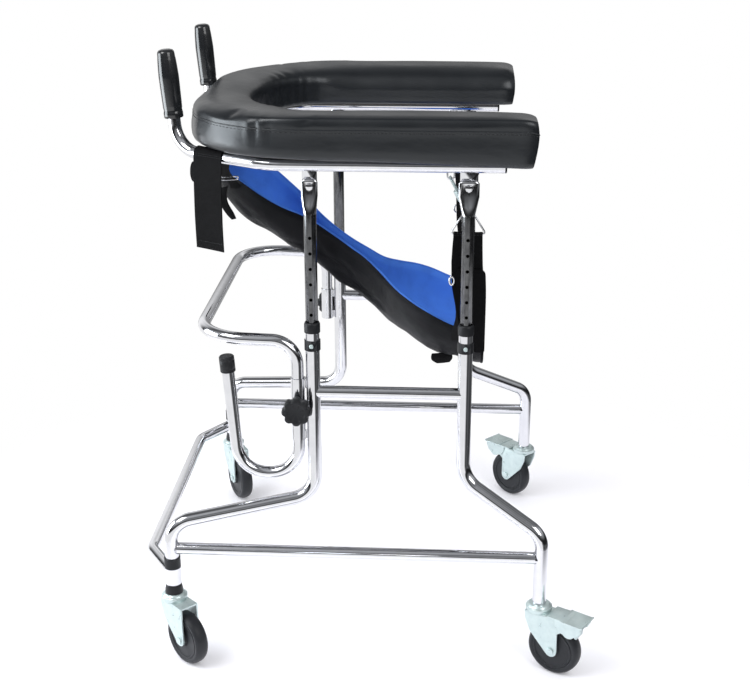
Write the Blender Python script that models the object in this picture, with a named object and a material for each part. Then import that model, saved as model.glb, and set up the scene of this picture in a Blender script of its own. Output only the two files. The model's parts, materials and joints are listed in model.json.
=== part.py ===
"""Rehabilitation walker with a padded arm rest, a seat sling and four swivel casters.

Metres, +Z up. The walker faces -Y, and +X is the user's left. The origin is on the floor,
under the middle of the walker.
"""

import math

import bmesh
import bpy
from mathutils import Matrix, Vector

# Clearances
GAP = 0.0003
WELD_DEPTH = 0.004
CUT_PAST = 0.010

# Facets
TUBE_SIDES = 16
BEND_STEPS = 3
WIDE_BEND_STEPS = 4
SMALL_SIDES = 8
WHEEL_SIDES = 20

# Tubes
LEG_RADIUS = 0.0125
POST_RADIUS = 0.011
POST_WALL = 0.0015
BAR_RADIUS = 0.011
RAIL_RADIUS = 0.011
GUARD_RADIUS = 0.011

# Plan of the frame
FOOT_X = 0.338
UPRIGHT_X = 0.273
FRONT_FOOT_Y = -0.348
REAR_FOOT_Y = 0.316
FRONT_POST_Y = -0.092
REAR_POST_Y = 0.1745

# Legs
LEG_MOUTH_Z = 0.625
BORE_FLOOR_Z = 0.4
FRONT_STEM_CORNER_Z = 0.2695
FRONT_UPRIGHT_CORNER_Z = 0.3025
REAR_STEM_CORNER_Z = 0.264
REAR_UPRIGHT_CORNER_Z = 0.3416
STEM_BEND = 0.040
FRONT_UPRIGHT_BEND = 0.045
REAR_UPRIGHT_BEND = 0.050
LOWER_BAR_Z = 0.219
UPPER_BAR_Z = 0.504

# Low front crossbar and the rings on the front stems
CROSSBAR_Z = 0.168
CROSSBAR_CORNER_X = 0.250
CROSSBAR_CORNER_Y = -0.405
CROSSBAR_BEND = 0.040
SLEEVE_RADIUS = 0.015
SLEEVE_BOTTOM_Z = 0.149
SLEEVE_TOP_Z = 0.181
STEM_COLLAR_TOP_Z = 0.201
STEM_BUSH_FLARE = 0.0165

# Height posts, their holes and the lock collars
POST_BOTTOM_Z = 0.545
TAPER_START_Z = 0.827
TAPER_END_Z = 0.859
POST_TOP_Z = 0.887
FLAT_HALF_THICKNESS = 0.003
FRONT_FLAT_HALF_WIDTH = 0.0140
REAR_FLAT_HALF_WIDTH = 0.0175
LOCK_Z = 0.5952
HOLE_PITCH = 0.0274
HOLES_BELOW_LOCK = 1
HOLES_ABOVE_LOCK = 7
HOLE_RADIUS = 0.0033
BOLT_Z = 0.874
BOLT_RADIUS = 0.004
BOLT_HEAD_RADIUS = 0.0068
BOLT_HEAD_HEIGHT = 0.004
BUSH_BOTTOM_Z = 0.616
BUSH_TOP_Z = 0.635
BUSH_RADIUS = 0.0141
COLLAR_BOTTOM_Z = 0.5835
COLLAR_TOP_Z = 0.602
COLLAR_RADIUS = 0.0142
COLLAR_BOSS_RADIUS = 0.0055
COLLAR_BOSS_REACH = 0.0175
PLUNGER_RADIUS = 0.0025
PLUNGER_HEAD_RADIUS = 0.0040
PLUNGER_HEAD_LENGTH = 0.004

# Hand rails and grips
RAIL_Z = 0.911
RAIL_REAR_Y = 0.233
RAIL_TURN_Y = -0.162
RAIL_TURN_BEND = 0.090
HANDLE_X = 0.170
HANDLE_Y = -0.332
HANDLE_LEAN = 0.012
HANDLE_BEND = 0.048
HANDLE_RISE = 0.164
HANDLE_TOP_Z = RAIL_Z + HANDLE_RISE
GRIP_CLEARANCE = 0.009
GRIP_BOTTOM_Z = RAIL_Z + HANDLE_BEND + GRIP_CLEARANCE
GRIP_WALL = 0.0066
GRIP_TAPER = 0.0024
GRIP_FLARE = 0.0054
TAB_THICKNESS = 0.004
FRONT_TAB_HALF_WIDTH = 0.0125
REAR_TAB_HALF_WIDTH = 0.0150
TAB_BOTTOM_Z = 0.862
PLUG_DEPTH = 0.014
PLUG_LIP = 0.0032
RAIL_WALL = 0.0015

# Arm pad and its board
PAD_CENTRE_X = 0.098
PAD_CENTRE_Y = -0.104
PAD_BEND = 0.156
PAD_WIDTH = 0.114
PAD_REAR_Y = 0.275
PAD_BOTTOM_Z = 0.9255
PAD_INNER_TOP_Z = 0.986
PAD_OUTER_TOP_Z = 0.9935
PAD_SIDE_DRAW = 0.0035
PAD_LIP = 0.022
PAD_LIP_DROP = 0.0055
PAD_LIP_START_Y = -0.135
PAD_LIP_FULL_Y = -0.055
PAD_ARM_STEPS = 6
PAD_ARC_STEPS = 7
BOARD_HALF_WIDTH = 0.028
BOARD_THICKNESS = 0.005
BOARD_REAR_INSET = 0.030

# Guard bar, its sleeves, the knobs and the crutch hook
GUARD_Y = -0.1195
GUARD_BOTTOM_Z = 0.456
GUARD_REAR_Z = 0.598
GUARD_FRONT_Y = -0.296
GUARD_FRONT_Z = 0.603
GUARD_REAR_BEND = 0.045
GUARD_CORNER_BEND = 0.085
CLAMP_RADIUS = 0.0125
LEFT_CLAMP_BOTTOM_Z = 0.413
LEFT_CLAMP_TOP_Z = 0.53
RIGHT_CLAMP_BOTTOM_Z = 0.453
RIGHT_CLAMP_TOP_Z = 0.518
CLAMP_TAB_HALF_WIDTH = 0.004
CLAMP_TAB_HEIGHT = 0.014
KNOB_Z = 0.477
KNOB_MEAN_RADIUS = 0.0228
KNOB_LOBE = 0.0032
KNOB_LOBES = 8
KNOB_POINTS_PER_LOBE = 4
KNOB_THICKNESS = 0.021
KNOB_SCREW_RADIUS = 0.004
CLAMP_BOSS_RADIUS = 0.0075
CLAMP_BOSS_REACH = 0.0175
HOOK_LOW_Z = 0.344
HOOK_FRONT_Y = -0.229
HOOK_TIP_Y = -0.2445
HOOK_TIP_Z = 0.566
HOOK_BEND = 0.054
HOOK_CAP_LENGTH = 0.027
HOOK_CAP_WALL = 0.0022

# Casters: the wheel trails along the caster's own +X
WHEEL_RADIUS = 0.050
WHEEL_HALF_WIDTH = 0.0130
HUB_HALF_LENGTH = 0.0150
HUB_RADIUS = 0.0125
AXLE_RADIUS = 0.004
AXLE_HEAD_RADIUS = 0.0072
AXLE_HEAD_HEIGHT = 0.0035
TRAIL = 0.0355
FORK_INNER_Y = 0.0155
FORK_PLATE = 0.003
FORK_TOP_Z = 0.1170
FORK_CROWN = 0.003
FORK_HEAD_X = 0.0190
FORK_TAIL_X = 0.0450
FORK_BOSS_RADIUS = 0.0120
HEAD_RADIUS = 0.0240
HEAD_TOP_Z = 0.1300
HEAD_WAIST_Z = 0.1245
STEM_RADIUS = 0.006
STEM_REACH = 0.030
PEDAL_PIVOT_X = 0.0640
PEDAL_PIVOT_Z = 0.1050
PEDAL_PIN_RADIUS = 0.0025
PEDAL_LOBE_RADIUS = 0.0075
PEDAL_SHEET = 0.002
PEDAL_END_X = 0.0980
PEDAL_TOP_Z = 0.1190
PEDAL_END_Z = 0.1178
CASTER_TURN_DEG = {"left_front": 46.0, "right_front": 30.0, "left_rear": 59.0, "right_rear": -134.0}

# Seat sling: plan place, height of the rim, half width at the rim, depth below the rim
SLING_CLOTH = 0.004
SLING_ACROSS = 12
SLING_FOLD = 0.0022
SLING_FOLD_PITCH = 0.085
SLING_STATIONS = (
    (-0.286, 0.853, 0.045, 0.026),
    (-0.276, 0.854, 0.074, 0.052),
    (-0.256, 0.851, 0.090, 0.072),
    (-0.232, 0.838, 0.099, 0.078),
    (-0.200, 0.815, 0.100, 0.078),
    (-0.165, 0.789, 0.085, 0.078),
    (-0.135, 0.769, 0.060, 0.082),
    (-0.107, 0.746, 0.036, 0.086),
    (-0.075, 0.721, 0.026, 0.088),
    (-0.045, 0.699, 0.026, 0.088),
    (-0.015, 0.679, 0.032, 0.089),
    (0.015, 0.656, 0.050, 0.090),
    (0.045, 0.637, 0.088, 0.090),
    (0.075, 0.623, 0.118, 0.090),
    (0.105, 0.609, 0.135, 0.090),
    (0.140, 0.592, 0.141, 0.088),
    (0.175, 0.578, 0.141, 0.084),
    (0.206, 0.567, 0.140, 0.078),
)

# Straps, triangle rings and snap hooks
STRAP_THICKNESS = 0.002
FRONT_STRAP_WIDTH = 0.062
REAR_STRAP_WIDTH = 0.050
FRONT_STRAP_Y = -0.265
FRONT_STRAP_PULL = ((0.155, -0.2540, 0.878), (0.112, -0.2460, 0.838), (0.064, -0.2445, 0.806))
FRONT_TAIL_Z = 0.747
REAR_STRAP_Y = 0.1745
REAR_TAIL_Z = 0.565
RING_WIRE = 0.0018
RING_BAR_X = 0.2475
RING_BAR_Z = 0.7885
RING_APEX_Z = 0.8275
RING_HALF_BAR = 0.0305
RING_HALF_APEX = 0.0065
STAPLE_X = 0.266
STAPLE_Y = 0.144
STAPLE_HALF = 0.006
STAPLE_Z = 0.8885
HOOK_WIRE = 0.0016
HOOK_LOOP = 0.0045
HOOK_BODY_RADIUS = 0.0062
HOOK_BODY_LENGTH = 0.020

SIDES = {"left": 1.0, "right": -1.0}
ENDS = ("front", "rear")
FOOT_Y = {"front": FRONT_FOOT_Y, "rear": REAR_FOOT_Y}
POST_Y = {"front": FRONT_POST_Y, "rear": REAR_POST_Y}


def clear_scene():
    """Remove every object of the startup scene."""
    for obj in list(bpy.data.objects):
        bpy.data.objects.remove(obj, do_unlink=True)


def make_material(name, colour, roughness, metallic):
    material = bpy.data.materials.new(name)
    material.use_nodes = True
    shader = material.node_tree.nodes["Principled BSDF"]
    shader.inputs["Base Color"].default_value = (*colour, 1.0)
    shader.inputs["Roughness"].default_value = roughness
    shader.inputs["Metallic"].default_value = metallic
    material.diffuse_color = (*colour, 1.0)
    return material


def make_materials():
    return {
        "chrome": make_material("chrome_tube", (0.78, 0.78, 0.80), 0.12, 1.0),
        "zinc": make_material("zinc_pressing", (0.72, 0.76, 0.76), 0.32, 1.0),
        "rubber": make_material("tyre_rubber", (0.025, 0.026, 0.028), 0.62, 0.0),
        "plastic": make_material("black_plastic", (0.02, 0.02, 0.022), 0.42, 0.0),
        "leather": make_material("black_leather", (0.035, 0.038, 0.042), 0.38, 0.0),
        "board": make_material("pad_board", (0.10, 0.08, 0.06), 0.75, 0.0),
        "cloth": make_material("blue_cloth", (0.03, 0.10, 0.48), 0.85, 0.0),
        "webbing": make_material("black_webbing", (0.015, 0.015, 0.017), 0.85, 0.0),
    }


def make_anchor(name, location, turn_deg=0.0):
    """An empty that moving pieces hang on, at their joint."""
    anchor = bpy.data.objects.new(name, None)
    anchor.empty_display_size = 0.03
    anchor.location = location
    anchor.rotation_euler.z = math.radians(turn_deg)
    bpy.context.scene.collection.objects.link(anchor)
    return anchor


def make_object(name, bm, material=None):
    """A mesh object from a bmesh, with its faces pointing out."""
    bmesh.ops.recalc_face_normals(bm, faces=bm.faces)
    mesh = bpy.data.meshes.new(name)
    bm.to_mesh(mesh)
    bm.free()
    obj = bpy.data.objects.new(name, mesh)
    bpy.context.scene.collection.objects.link(obj)
    if material:
        mesh.materials.append(material)
    return obj


def apply_boolean(target, tool, operation, self_crossing=False):
    """Combine the target with the tool, keep the result as its mesh and drop the tool."""
    modifier = target.modifiers.new(operation.lower(), "BOOLEAN")
    modifier.operation = operation
    modifier.solver = "EXACT"
    modifier.use_self = self_crossing
    modifier.object = tool
    graph = bpy.context.evaluated_depsgraph_get()
    result = bpy.data.meshes.new_from_object(target.evaluated_get(graph))
    target.modifiers.clear()
    target.data = result
    bpy.data.objects.remove(tool, do_unlink=True)


def unite(target, *shapes):
    for shape in shapes:
        apply_boolean(target, make_object("shape", shape), "UNION")


def cut(target, *shapes):
    for shape in shapes:
        apply_boolean(target, make_object("cutter", shape), "DIFFERENCE")


def finish_part(obj, material, parent, origin=(0.0, 0.0, 0.0), local=False):
    """Give the part its material and its origin, shade it and hang it on its parent.

    A local part is modelled in its parent's own frame; the others in the walker's.
    """
    origin = Vector(origin)
    obj.data.transform(Matrix.Translation(-origin))
    obj.data.materials.clear()
    obj.data.materials.append(material)
    obj.data.shade_smooth()
    obj.data.set_sharp_from_angle(angle=math.radians(35))
    obj.parent = parent
    obj.location = origin if local else origin - parent.location
    return obj


def circle(radius, sides, turn=0.0):
    """A round section as (u, v) points."""
    return [
        (
            radius * math.cos(turn + 2 * math.pi * i / sides),
            radius * math.sin(turn + 2 * math.pi * i / sides),
        )
        for i in range(sides)
    ]


def arc(centre, radius, start_deg, end_deg, steps):
    """Points on an arc, both ends included."""
    points = []
    for i in range(steps + 1):
        angle = math.radians(start_deg + (end_deg - start_deg) * i / steps)
        points.append((centre[0] + radius * math.cos(angle), centre[1] + radius * math.sin(angle)))
    return points


def bent_path(corners, radii, steps=BEND_STEPS):
    """The centre line through the corners, with each inner corner rounded to its radius."""
    corners = [Vector(corner) for corner in corners]
    points = [corners[0]]
    for before, corner, after, radius in zip(corners, corners[1:], corners[2:], radii):
        inward = (corner - before).normalized()
        outward = (after - corner).normalized()
        turn = inward.angle(outward)
        start = corner - inward * radius * math.tan(turn / 2)
        across = (outward - inward * inward.dot(outward)).normalized()
        centre = start + across * radius
        for i in range(steps + 1):
            angle = turn * i / steps
            points.append(centre - across * radius * math.cos(angle) + inward * radius * math.sin(angle))
    points.append(corners[-1])
    return points


def closed_path(corners, radius, steps):
    """A closed centre line with every corner rounded."""
    count = len(corners)
    points = []
    for i in range(count):
        trio = [corners[i - 1], corners[i], corners[(i + 1) % count]]
        points.extend(bent_path(trio, [radius], steps)[1:-1])
    return points


def sweep(path, section, normal, closed=False):
    """Carry a section along a path, turning it no more than the path does."""
    bm = bmesh.new()
    count = len(path)
    rings = []
    normal = Vector(normal)
    for i, point in enumerate(path):
        ahead = path[(i + 1) % count] if closed or i + 1 < count else None
        behind = path[i - 1] if closed or i > 0 else None
        tangent = Vector()
        if ahead is not None:
            tangent += (ahead - point).normalized()
        if behind is not None:
            tangent += (point - behind).normalized()
        tangent.normalize()
        normal = (normal - tangent * tangent.dot(normal)).normalized()
        side = tangent.cross(normal)
        rings.append([bm.verts.new(point + normal * u + side * v) for u, v in section])
    pairs = list(zip(rings, rings[1:]))
    if closed:
        pairs.append((rings[-1], rings[0]))
    bridge(bm, pairs)
    if not closed:
        bm.faces.new(rings[0])
        bm.faces.new(rings[-1])
    return bm


def bridge(bm, pairs):
    """Faces between rings with the same number of points."""
    for first, second in pairs:
        for i in range(len(first)):
            j = (i + 1) % len(first)
            bm.faces.new((first[i], first[j], second[j], second[i]))


def rod(start, end, radius, sides=TUBE_SIDES, normal=None):
    """A straight round bar."""
    start, end = Vector(start), Vector(end)
    if normal is None:
        normal = Vector((1, 0, 0)) if abs((end - start).normalized().x) < 0.9 else Vector((0, 0, 1))
    return sweep([start, end], circle(radius, sides), normal)


def loft(levels, plane):
    """Join outlines of (u, v) points, each at its own height, into one closed solid."""
    bm = bmesh.new()
    rings = []
    for height, outline in levels:
        rings.append([bm.verts.new(plane @ Vector((u, v, height))) for u, v in outline])
    bridge(bm, list(zip(rings, rings[1:])))
    bm.faces.new(rings[0])
    bm.faces.new(rings[-1])
    return bm


def prism(outline, low, high, plane):
    return loft([(low, outline), (high, outline)], plane)


def lathe(profile, sides, plane, turn=0.0):
    """Turn a profile of (radius, height) points about the plane's third axis.

    A profile that starts and ends on the axis makes a solid, any other one makes a ring.
    """
    bm = bmesh.new()
    solid = profile[0][0] == 0.0
    rings = []
    for radius, height in profile:
        if radius == 0.0:
            rings.append([bm.verts.new(plane @ Vector((0.0, 0.0, height)))])
        else:
            rings.append(
                [bm.verts.new(plane @ Vector((u, v, height))) for u, v in circle(radius, sides, turn)]
            )
    pairs = list(zip(rings, rings[1:]))
    if not solid:
        pairs.append((rings[-1], rings[0]))
    for first, second in pairs:
        for i in range(sides):
            j = (i + 1) % sides
            if len(first) == 1:
                bm.faces.new((first[0], second[i], second[j]))
            elif len(second) == 1:
                bm.faces.new((first[i], first[j], second[0]))
            else:
                bm.faces.new((first[i], first[j], second[j], second[i]))
    return bm


def plane_along(direction, up, centre=(0.0, 0.0, 0.0)):
    """A frame whose third axis is the direction and whose first axis is as near up as it can be."""
    third = Vector(direction).normalized()
    first = Vector(up)
    first = (first - third * third.dot(first)).normalized()
    second = third.cross(first)
    matrix = Matrix((first, second, third)).transposed().to_4x4()
    return Matrix.Translation(Vector(centre)) @ matrix


def upright_plane(x, y):
    return plane_along((0, 0, 1), (1, 0, 0), (x, y, 0.0))


def strip(path, thickness):
    """The outline of a band of even thickness that follows (u, v) points."""
    points = [Vector(point) for point in path]
    left, right = [], []
    for i, point in enumerate(points):
        directions = []
        if i > 0:
            directions.append((point - points[i - 1]).normalized())
        if i + 1 < len(points):
            directions.append((points[i + 1] - point).normalized())
        mean = sum(directions, Vector((0.0, 0.0))).normalized()
        across = Vector((-mean.y, mean.x))
        reach = thickness / 2 / max(0.5, mean.dot(directions[0]))
        left.append(tuple(point + across * reach))
        right.append(tuple(point - across * reach))
    return left + right[::-1]


def band(path, thickness, low, high, plane):
    """A flat band along a path, as quads between its two sides."""
    outline = strip(path, thickness)
    count = len(path)
    bm = bmesh.new()
    near = [bm.verts.new(plane @ Vector((u, v, low))) for u, v in outline]
    far = [bm.verts.new(plane @ Vector((u, v, high))) for u, v in outline]
    bridge(bm, [(near, far)])
    for verts in (near, far):
        for i in range(count - 1):
            bm.faces.new((verts[i], verts[i + 1], verts[-2 - i], verts[-1 - i]))
    return bm


def leg_corners(side, end):
    sign = SIDES[side]
    if end == "front":
        stem_z, upright_z = FRONT_STEM_CORNER_Z, FRONT_UPRIGHT_CORNER_Z
    else:
        stem_z, upright_z = REAR_STEM_CORNER_Z, REAR_UPRIGHT_CORNER_Z
    return [
        (sign * FOOT_X, FOOT_Y[end], HEAD_TOP_Z + GAP),
        (sign * FOOT_X, FOOT_Y[end], stem_z),
        (sign * UPRIGHT_X, POST_Y[end], upright_z),
        (sign * UPRIGHT_X, POST_Y[end], LEG_MOUTH_Z),
    ]


def make_leg(side, end, material, parent):
    """One bent leg tube, bored for its post and for the caster stem; a front leg carries the upper bar."""
    sign = SIDES[side]
    corners = leg_corners(side, end)
    upright_bend = FRONT_UPRIGHT_BEND if end == "front" else REAR_UPRIGHT_BEND
    path = bent_path(corners, [STEM_BEND, upright_bend])
    leg = make_object(f"{side}_{end}_leg", sweep(path, circle(LEG_RADIUS, TUBE_SIDES), (1, 0, 0)))
    if end == "front":
        x = sign * UPRIGHT_X
        bar = make_object(
            "bar", rod((x, FRONT_POST_Y, UPPER_BAR_Z), (x, REAR_POST_Y, UPPER_BAR_Z), BAR_RADIUS)
        )
        cope = (x, REAR_POST_Y, UPPER_BAR_Z)
        cut(bar, upright_cutter(cope, LEG_RADIUS + GAP, 2 * BAR_RADIUS))
        apply_boolean(leg, bar, "UNION")
    x, y, bottom = corners[0]
    cut(
        leg,
        rod(
            (sign * UPRIGHT_X, POST_Y[end], BORE_FLOOR_Z),
            (sign * UPRIGHT_X, POST_Y[end], LEG_MOUTH_Z + CUT_PAST),
            POST_RADIUS + GAP,
        ),
        rod((x, y, bottom - CUT_PAST), (x, y, bottom + STEM_REACH + GAP), STEM_RADIUS + GAP),
        plunger_cutter(sign, end),
    )
    return finish_part(leg, material, parent)


def upright_cutter(centre, radius, half_height):
    x, y, z = centre
    return rod((x, y, z - half_height), (x, y, z + half_height), radius)


def plunger_cutter(sign, end):
    """The hole that the lock plunger passes, from the post outwards."""
    return rod(
        (sign * UPRIGHT_X, POST_Y[end], LOCK_Z),
        (sign * (UPRIGHT_X + COLLAR_BOSS_REACH + CUT_PAST), POST_Y[end], LOCK_Z),
        PLUNGER_RADIUS + GAP,
        SMALL_SIDES,
    )


def make_lower_bar(side, material, parent):
    """A straight bar, coped to the two stems."""
    x = SIDES[side] * FOOT_X
    front, rear = (x, FRONT_FOOT_Y, LOWER_BAR_Z), (x, REAR_FOOT_Y, LOWER_BAR_Z)
    bar = make_object(f"{side}_lower_bar", rod(front, rear, BAR_RADIUS))
    for end in (front, rear):
        cut(bar, upright_cutter(end, LEG_RADIUS + GAP, 2 * BAR_RADIUS))
    return finish_part(bar, material, parent)


def make_crossbar(material, parent):
    """The low front bar with a sleeve at each end that goes round the front stem."""
    corners = [
        (FOOT_X, FRONT_FOOT_Y, CROSSBAR_Z),
        (CROSSBAR_CORNER_X, CROSSBAR_CORNER_Y, CROSSBAR_Z),
        (-CROSSBAR_CORNER_X, CROSSBAR_CORNER_Y, CROSSBAR_Z),
        (-FOOT_X, FRONT_FOOT_Y, CROSSBAR_Z),
    ]
    path = bent_path(corners, [CROSSBAR_BEND, CROSSBAR_BEND])
    bar = make_object("low_crossbar", sweep(path, circle(BAR_RADIUS, TUBE_SIDES), (0, 0, 1)))
    half = (SLEEVE_TOP_Z - SLEEVE_BOTTOM_Z) / 2
    middle = (SLEEVE_TOP_Z + SLEEVE_BOTTOM_Z) / 2
    for sign in SIDES.values():
        centre = (sign * FOOT_X, FRONT_FOOT_Y, middle)
        unite(bar, upright_cutter(centre, SLEEVE_RADIUS, half))
        cut(bar, upright_cutter(centre, LEG_RADIUS + GAP, half + CUT_PAST))
    return finish_part(bar, material, parent)


def ring_profile(inner, outer, low, high):
    return [(inner, low), (outer, low), (outer, high), (inner, high)]


def make_stem_collar(side, material, parent):
    """The black ring above the crossbar's sleeve."""
    plane = upright_plane(SIDES[side] * FOOT_X, FRONT_FOOT_Y)
    profile = ring_profile(LEG_RADIUS + GAP, SLEEVE_RADIUS, SLEEVE_TOP_Z + GAP, STEM_COLLAR_TOP_Z)
    ring = make_object(f"{side}_stem_collar", lathe(profile, TUBE_SIDES, plane))
    return finish_part(ring, material, parent)


def make_stem_bush(side, material, parent):
    """The flared black bush between the crossbar's sleeve and the caster head."""
    plane = upright_plane(SIDES[side] * FOOT_X, FRONT_FOOT_Y)
    top = SLEEVE_BOTTOM_Z - GAP
    bottom = HEAD_TOP_Z + GAP
    inner = LEG_RADIUS + GAP
    profile = [
        (inner, bottom),
        (STEM_BUSH_FLARE, bottom),
        (STEM_BUSH_FLARE, bottom + 0.005),
        (SLEEVE_RADIUS, bottom + 0.012),
        (SLEEVE_RADIUS, top),
        (inner, top),
    ]
    bush = make_object(f"{side}_stem_bush", lathe(profile, TUBE_SIDES, plane))
    return finish_part(bush, material, parent)


def flat_section(half_thickness, half_width):
    """A squashed tube: thin along X, wide along Y, with the same points as the round section."""
    points = []
    for u, v in circle(1.0, TUBE_SIDES):
        squared = math.copysign(abs(u) ** 0.5, u)
        points.append((half_thickness * squared, half_width * v))
    return points


def make_post(side, end, material, parent):
    """A height post: a tube with a row of holes, its top squashed flat for the bolt."""
    sign = SIDES[side]
    x, y = sign * UPRIGHT_X, POST_Y[end]
    half_width = FRONT_FLAT_HALF_WIDTH if end == "front" else REAR_FLAT_HALF_WIDTH
    middle_z = (TAPER_START_Z + TAPER_END_Z) / 2
    levels = [
        (POST_BOTTOM_Z, circle(POST_RADIUS, TUBE_SIDES)),
        (TAPER_START_Z, circle(POST_RADIUS, TUBE_SIDES)),
        (middle_z, flat_section(0.0082, (POST_RADIUS + half_width) / 2)),
        (TAPER_END_Z, flat_section(FLAT_HALF_THICKNESS, half_width)),
        (POST_TOP_Z - 0.005, flat_section(FLAT_HALF_THICKNESS, half_width)),
        (POST_TOP_Z, flat_section(FLAT_HALF_THICKNESS, half_width - 0.004)),
    ]
    post = make_object(f"{side}_{end}_post", loft(levels, upright_plane(x, y)))
    holes = [
        rod((x, y, z), (x + sign * (POST_RADIUS + CUT_PAST), y, z), HOLE_RADIUS, 6)
        for z in hole_heights()
    ]
    bolt_hole = rod(
        (x - CUT_PAST, y, BOLT_Z), (x + CUT_PAST, y, BOLT_Z), BOLT_RADIUS + GAP, SMALL_SIDES
    )
    bore = rod(
        (x, y, POST_BOTTOM_Z - CUT_PAST), (x, y, TAPER_START_Z), POST_RADIUS - POST_WALL
    )
    cut(post, bore, bolt_hole, *holes)
    return finish_part(post, material, parent)


def hole_heights():
    return [LOCK_Z + HOLE_PITCH * i for i in range(-HOLES_BELOW_LOCK, HOLES_ABOVE_LOCK + 1)]


def make_end_bush(side, end, material, parent):
    """The bush on a leg's mouth, which steadies the post."""
    plane = upright_plane(SIDES[side] * UPRIGHT_X, POST_Y[end])
    shoulder = LEG_MOUTH_Z + GAP
    profile = [
        (LEG_RADIUS + GAP, BUSH_BOTTOM_Z),
        (BUSH_RADIUS, BUSH_BOTTOM_Z),
        (BUSH_RADIUS, BUSH_TOP_Z - 0.004),
        (BUSH_RADIUS - 0.0020, BUSH_TOP_Z),
        (POST_RADIUS + GAP, BUSH_TOP_Z),
        (POST_RADIUS + GAP, shoulder),
        (LEG_RADIUS + GAP, shoulder),
    ]
    bush = make_object(f"{side}_{end}_end_bush", lathe(profile, TUBE_SIDES, plane))
    return finish_part(bush, material, parent)


def make_lock_collar(side, end, material, parent):
    """The collar round the leg that holds the spring plunger."""
    sign = SIDES[side]
    x, y = sign * UPRIGHT_X, POST_Y[end]
    profile = ring_profile(LEG_RADIUS + GAP, COLLAR_RADIUS, COLLAR_BOTTOM_Z, COLLAR_TOP_Z)
    collar = make_object(f"{side}_{end}_lock_collar", lathe(profile, TUBE_SIDES, upright_plane(x, y)))
    unite(
        collar,
        rod(
            (x + sign * (LEG_RADIUS + 0.0008), y, LOCK_Z),
            (x + sign * COLLAR_BOSS_REACH, y, LOCK_Z),
            COLLAR_BOSS_RADIUS,
            SMALL_SIDES,
        ),
    )
    cut(collar, plunger_cutter(sign, end))
    return finish_part(collar, material, parent)


def make_lock_button(side, end, material, parent):
    """The spring plunger, with the head that is pulled outwards to free the post."""
    sign = SIDES[side]
    origin = (sign * (UPRIGHT_X + COLLAR_BOSS_REACH), POST_Y[end], LOCK_Z)
    plane = plane_along((sign, 0, 0), (0, 0, 1), origin)
    tip = POST_RADIUS + GAP - COLLAR_BOSS_REACH
    profile = [
        (0.0, tip),
        (PLUNGER_RADIUS, tip),
        (PLUNGER_RADIUS, GAP),
        (PLUNGER_HEAD_RADIUS, GAP),
        (PLUNGER_HEAD_RADIUS, PLUNGER_HEAD_LENGTH - 0.001),
        (PLUNGER_HEAD_RADIUS - 0.001, PLUNGER_HEAD_LENGTH),
        (0.0, PLUNGER_HEAD_LENGTH),
    ]
    button = make_object(f"{side}_{end}_lock_button", lathe(profile, SMALL_SIDES, plane))
    return finish_part(button, material, parent, origin)


def rail_corners(side):
    sign = SIDES[side]
    return [
        (sign * UPRIGHT_X, RAIL_REAR_Y, RAIL_Z),
        (sign * UPRIGHT_X, RAIL_TURN_Y, RAIL_Z),
        (sign * HANDLE_X, HANDLE_Y, RAIL_Z),
        (sign * HANDLE_X, HANDLE_Y - HANDLE_LEAN, HANDLE_TOP_Z),
    ]


def tab_outline(y, half_width):
    """A tab that hangs from the rail, with its lower corners rounded."""
    low_left = (y - half_width + 0.005, TAB_BOTTOM_Z + 0.005)
    low_right = (y + half_width - 0.005, TAB_BOTTOM_Z + 0.005)
    return [
        (y - half_width, RAIL_Z - RAIL_RADIUS + WELD_DEPTH),
        *arc(low_left, 0.005, 180, 270, 2),
        *arc(low_right, 0.005, 270, 360, 2),
        (y + half_width, RAIL_Z - RAIL_RADIUS + WELD_DEPTH),
    ]


def make_rail(side, material, parent):
    """A hand rail: one tube from its rear end to the handle, with the post tabs, bolts and a staple."""
    sign = SIDES[side]
    path = bent_path(rail_corners(side), [RAIL_TURN_BEND, HANDLE_BEND])
    rail = make_object(f"{side}_rail", sweep(path, circle(RAIL_RADIUS, TUBE_SIDES), (0, 0, 1)))
    side_plane = plane_yz(sign)
    tab_face = UPRIGHT_X - FLAT_HALF_THICKNESS - GAP
    for end, half_width in (("front", FRONT_TAB_HALF_WIDTH), ("rear", REAR_TAB_HALF_WIDTH)):
        y = POST_Y[end]
        unite(rail, prism(tab_outline(y, half_width), tab_face - TAB_THICKNESS, tab_face, side_plane))
        unite(rail, bolt(sign, y, tab_face))
    unite(rail, staple(sign))
    cut(
        rail,
        rod(
            (sign * UPRIGHT_X, RAIL_REAR_Y - PLUG_DEPTH, RAIL_Z),
            (sign * UPRIGHT_X, RAIL_REAR_Y + CUT_PAST, RAIL_Z),
            RAIL_RADIUS - RAIL_WALL,
        ),
    )
    return finish_part(rail, material, parent)


def plane_yz(sign):
    """A frame for outlines of (y, z) points whose height is the distance out from the middle."""
    columns = (Vector((0, 1, 0)), Vector((0, 0, 1)), Vector((sign, 0, 0)))
    return Matrix(columns).transposed().to_4x4()


def bolt(sign, y, tab_face):
    """The bolt that holds a post's flat top on its tab: nut inside, round head outside."""
    plane = plane_along((sign, 0, 0), (0, 0, 1), (0.0, y, BOLT_Z))
    nut_face = tab_face - TAB_THICKNESS
    head_face = UPRIGHT_X + FLAT_HALF_THICKNESS + GAP
    profile = [
        (0.0, nut_face - BOLT_HEAD_HEIGHT),
        (BOLT_HEAD_RADIUS, nut_face - BOLT_HEAD_HEIGHT),
        (BOLT_HEAD_RADIUS, nut_face + 0.0005),
        (BOLT_RADIUS, nut_face + 0.0005),
        (BOLT_RADIUS, head_face),
        (BOLT_HEAD_RADIUS, head_face),
        (BOLT_HEAD_RADIUS - 0.001, head_face + 0.0025),
        (0.0, head_face + BOLT_HEAD_HEIGHT),
    ]
    return lathe(profile, SMALL_SIDES, plane)


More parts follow.
